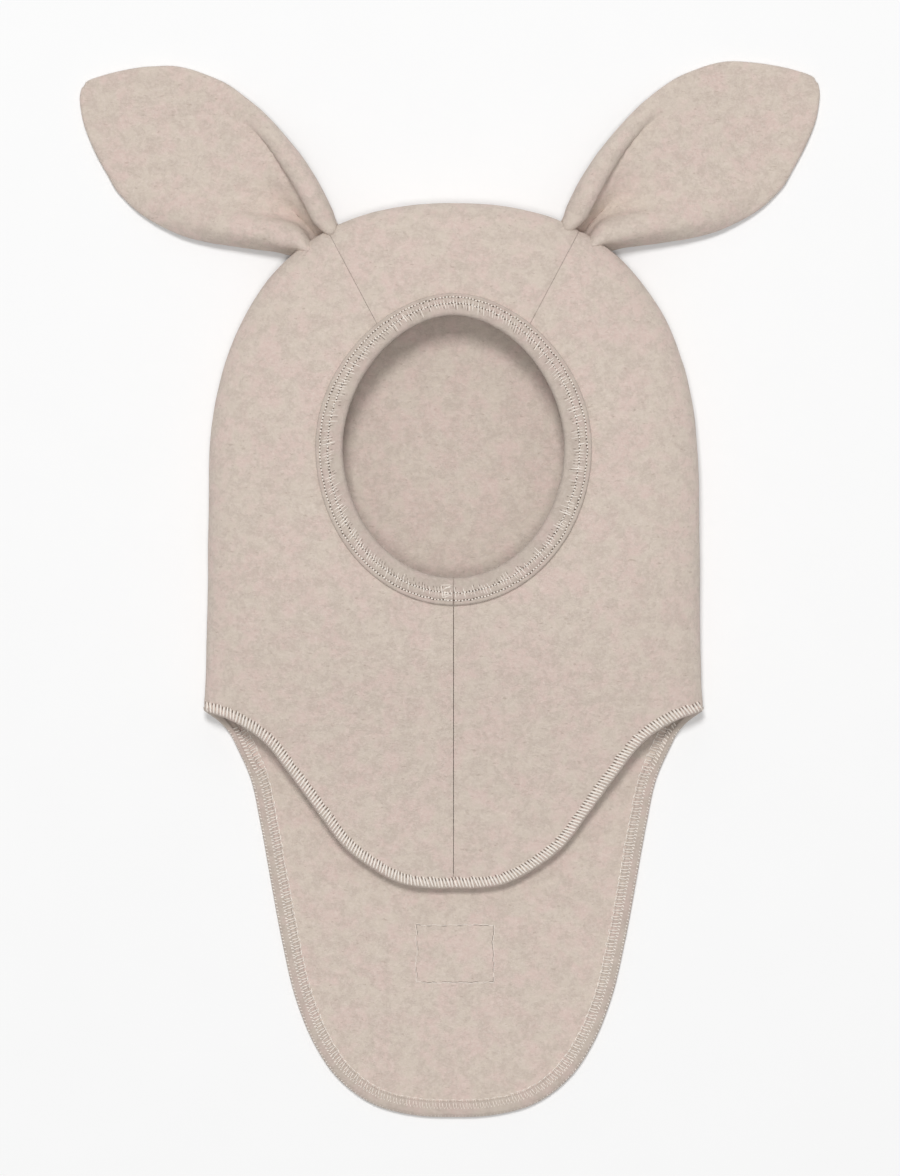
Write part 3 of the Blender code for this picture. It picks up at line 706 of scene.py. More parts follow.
def back_rows(top):
    """The back panel: a transfinite patch between the crown, the side seams and the bib's edge."""
    side_edge, half_bottom = bib_edge()
    right = []
    for column in reversed(under_rows(0.0)):
        inner = (column[-1] - column[-2]).normalized()
        right.append(column[-1] + inner * SEAM / 2)
    right += [Vector((p.x, p.y, FLOOR)) for p in side_edge[1:]]
    right[0] = top[0]
    left = [Vector((-p.x, p.y, p.z)) for p in right]
    left[0] = top[-1]
    low = [Vector((p.x, p.y, FLOOR)) for p in half_bottom]
    bottom = low + [Vector((-p.x, p.y, p.z)) for p in low[-2::-1]]
    wide, high = len(top) - 1, len(right) - 1
    runs = [0.0]
    for a, b in zip(right, right[1:]):
        runs.append(runs[-1] + abs(b.y - a.y))
    columns = []
    for i in range(wide + 1):
        u = CROWN_SHARES[i]
        column = []
        for j in range(high + 1):
            v = runs[j] / runs[-1]
            sides = right[j].lerp(left[j], u)
            ends = top[i].lerp(bottom[i], v)
            corners = right[0].lerp(left[0], u).lerp(right[-1].lerp(left[-1], u), v)
            point = sides + ends - corners
            if 0 < i < wide and 0 < j:
                point.z = FLOOR
            column.append(point)
        columns.append(column)
    return columns


def middle_sheet():
    front, under = crown_front(), crown_under()
    for column, end in zip(under, front):
        column[0] = end[-1]
    back = back_rows([column[-1] for column in under])
    return sheet_of([front, under, back], -1)


def hem_section(leaf_width, end_round, pressed, dents=()):
    """A hem across its line: distance along the wall from its edge, and height on the wall's normal.

    It turns to the inside, so its heights are below the wall. The leaf's free end is rounded and pressed
    thinner, and dents are pairs of a place across it and a depth.
    """
    low = CLOTH / 2 + GAP / 3
    high = CLOTH / 2 + GAP + CLOTH
    middle = (high - CLOTH / 2) / 2
    reach = leaf_width - end_round
    points = [(reach * k / 4, low) for k in range(1, 4)]
    for k in range(9):
        turn = math.pi * k / 8
        rise = (high - pressed - low) / 2
        points.append((reach + end_round * math.sin(turn), low + rise - rise * math.cos(turn)))
    steps = 22
    for k in range(1, steps):
        s = reach * (1 - k / steps)
        drawn = sum(depth * math.exp(-(((s - place) / DENT_WIDTH) ** 2)) for place, depth in dents)
        thinned = pressed * smooth_step((s - reach + PRESSED_RUN) / PRESSED_RUN)
        points.append((s, high - drawn - thinned))
    for k in range(ARC_STEPS + 1):
        turn = math.pi * k / ARC_STEPS
        points.append((-SEAM - HEM_ROUND * math.sin(turn), middle + HEM_ROUND * math.cos(turn)))
    points.append((-SEAM, low))
    return [(s, -h) for s, h in points]


def swept(stations, sections, closed):
    """A strip with sections along stations, each a point, a direction into the wall and its normal."""
    columns = []
    for (point, into, normal), section in zip(stations, sections):
        ring = [point + into * s + normal * h for s, h in section]
        columns.append(ring + ring[:1])
    if closed:
        columns.append(columns[0])
    bm = bmesh.new()
    grid(bm, columns)
    bmesh.ops.remove_doubles(bm, verts=bm.verts, dist=NUDGE)
    if not closed:
        bmesh.ops.holes_fill(bm, edges=bm.edges, sides=0)
    bmesh.ops.recalc_face_normals(bm, faces=bm.faces)
    return bm


def stations_along(points, inners, closed):
    """Stations for a hem on a wall's edge. Inners are points of the wall a few millimetres from the edge."""
    stations = []
    count = len(points)
    for i, (point, inner) in enumerate(zip(points, inners)):
        after = points[(i + 1) % count] if closed else points[min(i + 1, count - 1)]
        along = (after - points[i - 1 if closed else max(i - 1, 0)]).normalized()
        into = inner - point
        into = (into - along * into.dot(along)).normalized()
        stations.append((point, into, along.cross(into)))
    return stations


def face_hem():
    """The band round the face opening, drawn in by its two rows of stitches, open at the chin seam."""
    stitches = bpy.context.scene.hat_stitches
    chin = CHIN_SEAM / 2 / (FACE_WIDTH / 2 + HEM_REACH)
    angles = [chin + (2 * math.pi - 2 * chin) * s for s in shares(FACE_HEM_STEPS)]
    points = [front_point(face_point(a)) for a in angles]
    inners = [front_point(face_point(a, FACE_HEM_WIDTH)) for a in angles]
    sections = []
    run = 0.0
    for i, angle in enumerate(angles):
        run += (points[i] - points[i - 1]).length if i else 0.0
        width = face_hem_width(angle)
        pull = 0.72 + 0.28 * math.cos(2 * math.pi * run / stitches.face_pitch)
        dents = [(width * share - HEM_REACH, stitches.dent * pull) for share in FACE_ROWS]
        sections.append(hem_section(width - HEM_REACH, FACE_HEM_END, FACE_HEM_PRESSED, dents))
    return swept(stations_along(points, inners, closed=False), sections, closed=False)


def front_inners(nodes):
    """Points of the front wall beside its lower edge."""
    inners = []
    for i, node in enumerate(nodes):
        along = nodes[min(i + 1, len(nodes) - 1)] - (nodes[i - 1] if i else Vector((-nodes[1].x, nodes[1].y)))
        inners.append(front_point(node + Vector((-along.y, along.x)).normalized() * TIP_HEM_WIDTH))
    return inners


def back_inners(points):
    """Points of the back panel beside its edge."""
    inners = []
    for i, point in enumerate(points):
        after = points[i + 1] if i + 1 < len(points) else Vector((-points[i - 1].x, point.y, point.z))
        along = after - points[max(i - 1, 0)]
        inners.append(point + Vector((along.y, -along.x, 0)).normalized() * TIP_HEM_WIDTH)
    return inners


def neck_hem_widths(points, first, last):
    """The turned-in width at each point, narrower from the tip to the side seam and close to them."""
    runs = [0.0]
    for a, b in zip(points, points[1:]):
        runs.append(runs[-1] + (b - a).length)
    widths = []
    for run in runs:
        away = max(runs[first] - run, run - runs[last], 0.0)
        share = smooth_step((away - TIP_HEM_RUN) / HEM_BLEND_RUN)
        widths.append(TIP_HEM_WIDTH + (NECK_HEM_WIDTH - TIP_HEM_WIDTH) * share)
    return widths


def neck_hem():
    """The hem round the whole neck edge, turned to the inside: front bib, tips and back bib."""
    nodes = hem_nodes()
    front = [front_point(p) for p in nodes]
    path = tip_path()
    side_edge, half_bottom = bib_edge()
    back = [Vector((p.x, p.y, FLOOR)) for p in side_edge + half_bottom[1:]]
    points = front + path[1:-1] + back
    inners = front_inners(nodes)[:-1] + under_rows(0.0)[1][:-1] + back_inners(back)
    widths = neck_hem_widths(points, len(front) - 1, len(front) + len(path) - 2)
    points += [Vector((-p.x, p.y, p.z)) for p in points[-2:0:-1]]
    inners += [Vector((-p.x, p.y, p.z)) for p in inners[-2:0:-1]]
    widths += widths[-2:0:-1]
    sections = [hem_section(width - HEM_REACH, NECK_HEM_END, NECK_HEM_PRESSED) for width in widths]
    return swept(stations_along(points, inners, closed=True), sections, closed=True)


def ear_line(run):
    """The ear's cloth across it: distance from its axis, and height over the lowest place there."""
    at = {key: EAR_WIDTH * eased(EAR_SECTIONS, key, run) for key in EAR_MEASURES[2:]}
    lower, hollow, edge, upper = at["lower"], at["hollow"], at["edge"], at["upper"]
    fall = EAR_WIDTH * eased(EAR_SECTIONS, "low", run)
    return spline([
        Vector((lower, at["lobe"] * 0.15 - fall * 0.85)),
        Vector((lower + 0.12 * (hollow - lower), at["lobe"] * 0.62 - fall * 0.42)),
        Vector((lower + 0.38 * (hollow - lower), at["lobe"])),
        Vector((lower + 0.68 * (hollow - lower), at["lobe"] * 0.90)),
        Vector((hollow, at["lobe"] * 0.28)),
        Vector((at["valley"], 0.0)),
        Vector((at["valley"] + 0.55 * (edge - at["valley"]), at["strip"] * 0.28)),
        Vector((edge + at["strip"] * 0.05, at["strip"] * 0.62)),
        Vector((edge + 0.05 * (upper - edge) - at["strip"] * 0.06, at["strip"] * 0.90)),
        Vector((edge + 0.12 * (upper - edge), at["strip"])),
        Vector((edge + 0.55 * (upper - edge), at["strip"] * 0.96)),
        Vector((upper, at["strip"] * 0.50 - fall * 0.45)),
    ])


def ear_low(run):
    """Height of the lowest place across the ear, which lies on the floor at the base and the tip third."""
    return CLOTH + GAP / 2 + EAR_WIDTH * eased(EAR_SECTIONS, "low", run)


def ear_axes(spread):
    """The middle of the ear's base on the hood's outline, and the directions along and across the ear."""
    base = outline_at(math.acos(min(1.0, spread / HALF_WIDTH) ** (OUTLINE_POWER / 2)))
    along = Vector((math.cos(EAR_ANGLE), math.sin(EAR_ANGLE), 0))
    across = Vector((-along.y, along.x, 0))
    return Vector((base.x, base.y, 0)), along, across


def ear_point(axes, run, place):
    base, along, across = axes
    point = base + along * (run * EAR_LENGTH) + across * place.x
    point.z = ear_low(run) + place.y
    return point


def hood_tree():
    """The middle of the hood's wall, facing out, to find where the ears meet it."""
    bm = bmesh.new()
    for columns in (side_front(), under_rows(0.0), crown_front(), crown_under()):
        grid(bm, columns)
    bmesh.ops.remove_doubles(bm, verts=bm.verts, dist=CROWN_SEAM * 1.2)
    bmesh.ops.recalc_face_normals(bm, faces=bm.faces)
    bm.normal_update()
    if sum(v.normal.x * v.co.x + v.normal.y * v.co.y for v in bm.verts) < 0:
        bmesh.ops.reverse_faces(bm, faces=bm.faces)
    tree = BVHTree.FromBMesh(bm)
    bm.free()
    return tree


def ear_start(tree, axes, share):
    """The share of the ear's length at which its cloth leaves the hood's wall."""
    free, blocked = EAR_CLEAR_RUN, EAR_BASE_RUN
    while free - blocked > 0.001:
        run = (free + blocked) / 2
        point = ear_point(axes, run, picked(ear_line(run), [share])[0])
        near, normal, _, distance = tree.find_nearest(point)
        if distance > CLOTH / 2 - EAR_SINK and (point - near).dot(normal) > 0:
            free = run
        else:
            blocked = run
    return free


def ear_shares(rim_round, width):
    """Shares across the ear, closer together where its sewn edges are rounded."""
    near = [rim_round / width * (k / 6) ** 1.5 for k in range(7)]
    middle = [near[-1] + (1 - 2 * near[-1]) * s for s in shares(EAR_COLUMNS)]
    return near[:-1] + middle + [1 - s for s in near[-2::-1]]


def rounding(distance, rim_round):
    """How thick a layer is at a distance from the sewn edge, as a share of its full thickness."""
    open_share = 1 - min(1.0, distance / rim_round)
    return max(EAR_THINNEST, math.sqrt(1 - open_share**2))


def ear_columns(spread, tree):
    """Columns of points over one ear, from its base to its tip, and how thick the cloth is at each."""
    rim_round = bpy.context.scene.hat_cloth.rim_round
    axes = ear_axes(spread)
    places = ear_shares(rim_round, EAR_WIDTH)
    tip_run = rim_round / EAR_LENGTH
    rows = [s * (1 - tip_run) for s in shares(EAR_ROWS)]
    rows += [1 - tip_run * (1 - k / 6) ** 1.5 for k in range(1, 7)]
    knots = [EAR_BASE_RUN + EAR_RUN_SPAN * k / EAR_KNOTS for k in range(EAR_KNOTS + 1)]
    lines = [ear_line(knot) for knot in knots]
    across = [length_of(line) for line in lines]
    spots = [picked(line, places) for line in lines]
    columns, weights = [], []
    starts = [ear_start(tree, axes, share) for share in shares(EAR_STARTS)]
    for c, share in enumerate(places):
        spot = min(EAR_STARTS - 1, int(share * EAR_STARTS))
        start = starts[spot] + (starts[spot + 1] - starts[spot]) * (share * EAR_STARTS - spot)
        column, thick = [], []
        for row in rows:
            run = start + (1 - start) * row
            k = min(EAR_KNOTS - 1, int((run - EAR_BASE_RUN) / EAR_RUN_SPAN * EAR_KNOTS))
            t = (run - knots[k]) / (knots[k + 1] - knots[k])
            column.append(ear_point(axes, run, spots[k][c].lerp(spots[k + 1][c], t)))
            edge = min(share, 1 - share) * across[k]
            end = (1 - run) * EAR_LENGTH
            foot = smooth_step((run - start) * EAR_LENGTH / EAR_FOOT)
            growth = EAR_THINNEST + (1 - EAR_THINNEST) * foot
            thick.append(rounding(min(edge, end), rim_round) * growth)
        columns.append(column)
        weights.append(thick)
    return columns, weights


def ear_leaf(columns, weights, mirrored, side):
    """One of the ear's two layers. Side is 1 for the front layer and -1 for the back one."""
    bm = bmesh.new()
    grid(bm, columns, weights)
    if mirrored:
        bmesh.ops.scale(bm, vec=(-1, 1, 1), verts=bm.verts)
    turn_faces(bm, 1)
    layer = bm.verts.layers.deform.verify()
    for v in bm.verts:
        rise = swell(v.co) * 0.8 * v[layer][0]
        v.co += v.normal * (side * SEAM / 2 + rise)
    return bm


def node(tree, kind, settings=None, inputs=None):
    """A shader node with its settings, and its inputs set or linked."""
    made = tree.nodes.new(kind)
    for key, value in (settings or {}).items():
        setattr(made, key, value)
    for key, value in (inputs or {}).items():
        if isinstance(value, bpy.types.NodeSocket):
            tree.links.new(value, made.inputs[key])
        else:
            made.inputs[key].default_value = value
    return made


def noise_node(tree, vector, scale, detail=3.0, rough=0.55):
    made = node(tree, "ShaderNodeTexNoise", None,
                {"Vector": vector, "Scale": scale, "Detail": detail, "Roughness": rough})
    return made.outputs["Fac"]


def ranged(tree, value, low, high, out_low=0.0, out_high=1.0):
    made = node(tree, "ShaderNodeMapRange", {"interpolation_type": "SMOOTHSTEP"},
                {"Value": value, "From Min": low, "From Max": high, "To Min": out_low, "To Max": out_high})
    return made.outputs["Result"]


def maths(tree, operation, first, second=0.0):
    made = node(tree, "ShaderNodeMath", {"operation": operation}, {0: first, 1: second})
    return made.outputs["Value"]


def mixed(tree, factor, first, second):
    made = node(tree, "ShaderNodeMix", {"data_type": "RGBA"}, {"Factor": factor, "A": first, "B": second})
    return made.outputs["Result"]


def new_group(name, ins, outs):
    group = bpy.data.node_groups.new(name, "ShaderNodeTree")
    for socket_name, kind in ins:
        group.interface.new_socket(name=socket_name, in_out="INPUT", socket_type=kind)
    for socket_name, kind in outs:
        group.interface.new_socket(name=socket_name, in_out="OUTPUT", socket_type=kind)
    return group


def mixed_vectors(tree, first, second, share):
    """A vector moved a little by another one, which is centred on a half."""
    centred = node(tree, "ShaderNodeVectorMath", {"operation": "SUBTRACT"}, {0: second, 1: (0.5, 0.5, 0.5)})
    scaled = node(tree, "ShaderNodeVectorMath", {"operation": "SCALE"},
                  {0: centred.outputs["Vector"], "Scale": share})
    moved = node(tree, "ShaderNodeVectorMath", {"operation": "ADD"}, {0: first, 1: scaled.outputs["Vector"]})
    return moved.outputs["Vector"]


def fibre_group():
    """Fine felted fibres that lie in several directions, as a mask."""
    group = new_group("wool_fibres", (("Vector", "NodeSocketVector"),), (("Mask", "NodeSocketFloat"),))
    given = group.nodes.new("NodeGroupInput").outputs["Vector"]
    wander = node(group, "ShaderNodeTexNoise", None, {"Vector": given, "Scale": 260.0, "Detail": 2.0})
    bent = mixed_vectors(group, given, wander.outputs["Color"], 0.0022)
    mask = None
    for turn in (12.0, 71.0, 133.0):
        laid = node(group, "ShaderNodeMapping", None, {
            "Vector": bent, "Rotation": (0.0, 0.0, math.radians(turn)), "Scale": (330.0, 2600.0, 1500.0)})
        strand = noise_node(group, laid.outputs["Vector"], 1.0, 2.0, 0.5)
        ridge = maths(group, "ABSOLUTE", maths(group, "SUBTRACT", strand, 0.5))
        line = ranged(group, ridge, 0.0, 0.055, 1.0, 0.0)
        mask = line if mask is None else maths(group, "MAXIMUM", mask, line)
    out = group.nodes.new("NodeGroupOutput")
    group.links.new(mask, out.inputs["Mask"])
    return group


def felt_group(fibres):
    """Colour and height of felted wool: broad patches, small mottles, dark flecks and fibres."""
    ins = (("Vector", "NodeSocketVector"), ("Wool", "NodeSocketColor"), ("Warm", "NodeSocketColor"),
           ("Grey", "NodeSocketColor"), ("Light", "NodeSocketColor"), ("Fleck", "NodeSocketColor"),
           ("Mottle", "NodeSocketFloat"))
    outs = (("Colour", "NodeSocketColor"), ("Height", "NodeSocketFloat"), ("Roughness", "NodeSocketFloat"))
    group = new_group("felted_wool", ins, outs)
    given = group.nodes.new("NodeGroupInput").outputs
    where = given["Vector"]
    patch = ranged(group, noise_node(group, where, 95.0, 4.0, 0.62), 0.42, 0.60)
    wander = node(group, "ShaderNodeTexNoise", None, {"Vector": where, "Scale": 150.0, "Detail": 3.0})
    bent = mixed_vectors(group, where, wander.outputs["Color"], 0.007)
    mottle = ranged(group, noise_node(group, bent, 210.0, 5.0, 0.66), 0.44, 0.60)
    speck = noise_node(group, where, 760.0, 4.0, 0.66)
    lint = node(group, "ShaderNodeGroup", {"node_tree": fibres}, {"Vector": where}).outputs["Mask"]
    stretch = node(group, "ShaderNodeMapping", None, {
        "Vector": where, "Rotation": (0.0, 0.0, 0.6), "Scale": (300.0, 760.0, 500.0)})
    fleck = ranged(group, noise_node(group, stretch.outputs["Vector"], 1.0, 3.0, 0.6), 0.63, 0.72)
    patched = mixed(group, maths(group, "MULTIPLY", patch, given["Mottle"]), given["Wool"], given["Warm"])
    dulled = mixed(group, maths(group, "MULTIPLY", maths(group, "MULTIPLY", mottle, 0.75), given["Mottle"]),
                   patched, given["Grey"])
    lit = mixed(group, ranged(group, speck, 0.42, 0.66, 0.0, 0.42), dulled, given["Light"])
    strands = mixed(group, maths(group, "MULTIPLY", lint, 0.26), lit, given["Light"])
    flecked = mixed(group, maths(group, "MULTIPLY", fleck, 0.42), strands, given["Fleck"])
    height = maths(group, "ADD", maths(group, "MULTIPLY", speck, 0.62), maths(group, "MULTIPLY", lint, 0.16))
    height = maths(group, "ADD", height, maths(group, "MULTIPLY", mottle, 0.34))
    out = group.nodes.new("NodeGroupOutput")
    group.links.new(flecked, out.inputs["Colour"])
    group.links.new(height, out.inputs["Height"])
    group.links.new(ranged(group, speck, 0.3, 0.7, 0.86, 0.98), out.inputs["Roughness"])
    return group


def new_material(name):
    material = bpy.data.materials.new(name)
    material.use_nodes = True
    tree = material.node_tree
    tree.nodes.clear()
    shader = tree.nodes.new("ShaderNodeBsdfPrincipled")
    out = tree.nodes.new("ShaderNodeOutputMaterial")
    tree.links.new(shader.outputs["BSDF"], out.inputs["Surface"])
    return material, tree, shader


def wool_material(name, mottle, bump, lift=1.0):
    """Felted wool. Lift lightens it a little, as on a pressed hem."""
    if name in bpy.data.materials:
        return bpy.data.materials[name]
    colours = bpy.context.scene.hat_colours
    groups = bpy.data.node_groups
    felt = groups["felted_wool"] if "felted_wool" in groups else felt_group(fibre_group())
    material, tree, shader = new_material(name)
    where = node(tree, "ShaderNodeTexCoord").outputs["Object"]

    def lifted(colour):
        return [min(1.0, channel * lift) for channel in colour[:3]] + [1.0]

    wool = node(tree, "ShaderNodeGroup", {"node_tree": felt}, {
        "Vector": where, "Wool": lifted(colours.wool), "Warm": lifted(colours.wool_warm),
        "Grey": lifted(colours.wool_grey),
        "Light": lifted(colours.wool_light), "Fleck": colours.wool_fleck, "Mottle": mottle})
    rise = node(tree, "ShaderNodeBump", None, {
        "Height": wool.outputs["Height"], "Strength": bump, "Distance": 0.0006})
    tree.links.new(wool.outputs["Colour"], shader.inputs["Base Color"])
    tree.links.new(wool.outputs["Roughness"], shader.inputs["Roughness"])
    tree.links.new(rise.outputs["Normal"], shader.inputs["Normal"])
    shader.inputs["Specular IOR Level"].default_value = 0.22
    shader.inputs["Sheen Weight"].default_value = 0.30
    shader.inputs["Sheen Roughness"].default_value = 0.55
    shader.inputs["Sheen Tint"].default_value = (0.95, 0.88, 0.82, 1.0)
    return material


def thread_material():
    """Sewing thread with a fine twist."""
    if "sewing_thread" in bpy.data.materials:
        return bpy.data.materials["sewing_thread"]
    colour = bpy.context.scene.hat_colours.thread
    material, tree, shader = new_material("sewing_thread")
    where = node(tree, "ShaderNodeTexCoord").outputs["Object"]
    uneven = noise_node(tree, where, 900.0, 3.0, 0.6)
    dull = [channel * 0.86 for channel in colour[:3]] + [1.0]
    tone = mixed(tree, ranged(tree, uneven, 0.35, 0.65), dull, colour)
    rise = node(tree, "ShaderNodeBump", None, {
        "Height": noise_node(tree, where, 5200.0, 2.0, 0.5), "Strength": 0.5, "Distance": 0.0001})
    tree.links.new(tone, shader.inputs["Base Color"])
    tree.links.new(ranged(tree, uneven, 0.3, 0.7, 0.62, 0.80), shader.inputs["Roughness"])
    tree.links.new(rise.outputs["Normal"], shader.inputs["Normal"])
    shader.inputs["Sheen Weight"].default_value = 0.15
    return material


def painted_hole_shade_material():
    """Painted shade for the needle holes, and for the gaps beside the stitches."""
    if "needle_hole_shade" in bpy.data.materials:
        return bpy.data.materials["needle_hole_shade"]
    colour = bpy.context.scene.hat_colours.painted_hole_shade
    material, tree, shader = new_material("needle_hole_shade")
    where = node(tree, "ShaderNodeTexCoord").outputs["Object"]
    deep = [channel * 0.6 for channel in colour[:3]] + [1.0]
    tone = mixed(tree, noise_node(tree, where, 1500.0), deep, colour)
    tree.links.new(tone, shader.inputs["Base Color"])
    shader.inputs["Roughness"].default_value = 1.0
    return material


def add_piece(name, bm, materials, hides=()):
    """A finished mesh in its place in the frame, riding on the hat."""
    mesh = bpy.data.meshes.new(name)
    bm.to_mesh(mesh)
    bm.free()
    mesh.transform(Matrix.Translation(HAT_MOVE))
    mesh.shade_smooth()
    for material in materials:
        mesh.materials.append(material)
    piece = bpy.data.objects.new(name, mesh)
    bpy.context.scene.collection.objects.link(piece)
    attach(piece, "root")
    if hides:
        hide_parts(*hides)
    return piece


def flat_area(bm):
    return sum(face.calc_area() for face in bm.faces)


def thicken(piece, offset=0.0, group=""):
    wall = piece.modifiers.new("Cloth", "SOLIDIFY")
    wall.thickness = CLOTH
    wall.offset = offset
    wall.use_even_offset = False
    if group:
        piece.vertex_groups.new(name=group)
        wall.vertex_group = group


def surface_tree(*names):
    """The shown surfaces of pieces, measured from the middle of the face opening, to lay stitches on."""
    depsgraph = bpy.context.evaluated_depsgraph_get()
    bm = bmesh.new()
    for name in names:
        shown = bpy.data.objects[name].evaluated_get(depsgraph)
        mesh = shown.to_mesh()
        bm.from_mesh(mesh)
        shown.to_mesh_clear()
    bmesh.ops.translate(bm, vec=-HAT_MOVE, verts=bm.verts)
    tree = BVHTree.FromBMesh(bm)
    bm.free()
    return tree


def dropped(tree, flat, height):
    """The first place of the surface under a point at a height, and its normal, which points up."""
    place, normal, _, _ = tree.ray_cast(Vector((flat.x, flat.y, height)), Vector((0, 0, -1)))
    if place is None:
        return None, None
    return place, normal if normal.z > 0 else -normal


def bead(kind):
    """The small round shape that every stitch or painted shade bead is a scaled copy of, made once."""
    if kind in bpy.data.meshes:
        return bpy.data.meshes[kind]
    bm = bmesh.new()
    if kind == "stitch_bead":
        bmesh.ops.create_uvsphere(bm, u_segments=6, v_segments=6, radius=1.0)
    else:
        bmesh.ops.create_icosphere(bm, subdivisions=1, radius=1.0)
    mesh = bpy.data.meshes.new(kind)
    bm.to_mesh(mesh)
    bm.free()
    return mesh


def lay_bead(bm, kind, matrix):
    shape = bead(kind).copy()
    shape.transform(matrix)
    bm.from_mesh(shape)
    bpy.data.meshes.remove(shape)


def stitch(bm, tree, start, end, width, rise, height=LAY_HEIGHT):
    """One short length of thread that lies on the surface from start to end, with its ends sunk in."""
    a, _ = dropped(tree, start, height)
    b, _ = dropped(tree, end, height)
    middle, normal = dropped(tree, (start + end) / 2, height)
    if None in (a, b, middle):
        return
    along = (b - a).normalized()
    up = (normal - along * normal.dot(along)).normalized()
    centre = (a + b) / 4 + middle / 2 + up * rise * 0.3
    turn = Matrix((along, up.cross(along), up)).transposed().to_4x4()
    size = Matrix.Diagonal(((b - a).length * 0.54, width / 2, rise / 2, 1.0))
    lay = Matrix.Rotation(math.pi / 2, 4, "Y")
    lay_bead(bm, "stitch_bead", Matrix.Translation(centre) @ turn @ size @ lay)


def painted_hole_shade(bm, tree, flat, radius):
    """A small dark bead on the surface: painted shade of a needle hole."""
    place, normal = dropped(tree, flat, LAY_HEIGHT)
    if place is None:
        return
    turn = normal.to_track_quat("Z", "Y").to_matrix().to_4x4()
    size = Matrix.Diagonal((radius, radius, radius * 0.35, 1.0))
    lay_bead(bm, "painted_hole_shade_bead", Matrix.Translation(place) @ turn @ size)


def walk(line, pitch):
    """Evenly spaced places on a flat line, each with its direction along and its left side."""
    count = max(1, round(length_of(line) / pitch))
    places = picked(line, shares(count))
    steps = []
    for i, place in enumerate(places):
        along = (places[min(i + 1, count)] - places[max(i - 1, 0)]).normalized()
        steps.append((place, along, Vector((-along.y, along.x))))
    return steps


def jitter(place, amount, seed=0.0):
    """A small steady unevenness between stitches."""
    return amount * noise.noise(Vector((place.x * 900, place.y * 900, seed)))


def mirrored_line(half):
    """A whole line from its right half, which ends on the middle line."""
    return half + [Vector((-p.x, p.y)) for p in half[-2::-1]]


def front_hem_line():
    return mirrored_line(half_curve(FRONT_HEM, FRONT_BIB_LENGTH, HEM_REACH)[::-1])


def back_hem_line():
    return mirrored_line(half_curve(BACK_HEM, BACK_BIB_LENGTH, HEM_REACH))


class HAT_OT_panels(bpy.types.Operator):
    """Make the middle panel and the two side panels"""

    bl_idname = "hat.panels"
    bl_label = "Panels"

    def execute(self, context):
        wool = wool_material("felted_wool", 0.9, 0.55)
        sheets = (
            ("crown_and_back_panel", middle_sheet(), (0.2010, 0.4400)),
            ("side_panel_right", side_sheet(False), (0.1250, 0.3000)),
            ("side_panel_left", side_sheet(True), (0.1250, 0.3000)),
        )
        for name, bm, cut in sheets:
            area = flat_area(bm)
            piece = add_piece(name + "_cloth", bm, [wool], [name])
            thicken(piece)
        return {"FINISHED"}


class HAT_OT_hems(bpy.types.Operator):
    """Make the face band and the neck hem"""

    bl_idname = "hat.hems"
    bl_label = "Hems"

    def execute(self, context):
        pressed = wool_material("pressed_wool", 0.8, 0.5, 0.85)
        strips = (
            ("face_hem", "face_hem_band", face_hem(), (0.0150, 0.3200)),
            ("neck_hem", "neck_hem_fold", neck_hem(), (0.0100, 0.7000)),
        )
        for name, strip_name, bm, cut in strips:
            area = flat_area(bm) / 2
            piece = add_piece(strip_name, bm, [pressed], [name])
        return {"FINISHED"}


class HAT_OT_ears(bpy.types.Operator):
    """Make both layers of both ears"""

    bl_idname = "hat.ears"
    bl_label = "Ears"

    def execute(self, context):
        wool = wool_material("felted_wool", 0.9, 0.55)
        tree = hood_tree()
        for name, mirrored in (("right", False), ("left", True)):
            spread = EAR_SPREAD + (EAR_LEAN if mirrored else -EAR_LEAN)
            columns, weights = ear_columns(spread, tree)
            for layer, side in (("front", 1), ("back", -1)):
                node_name = f"ear_{name}_{layer}"
                bm = ear_leaf(columns, weights, mirrored, side)
                area = flat_area(bm)
                piece = add_piece(node_name + "_cloth", bm, [wool], [node_name])
                thicken(piece, side, "thickness")
        return {"FINISHED"}


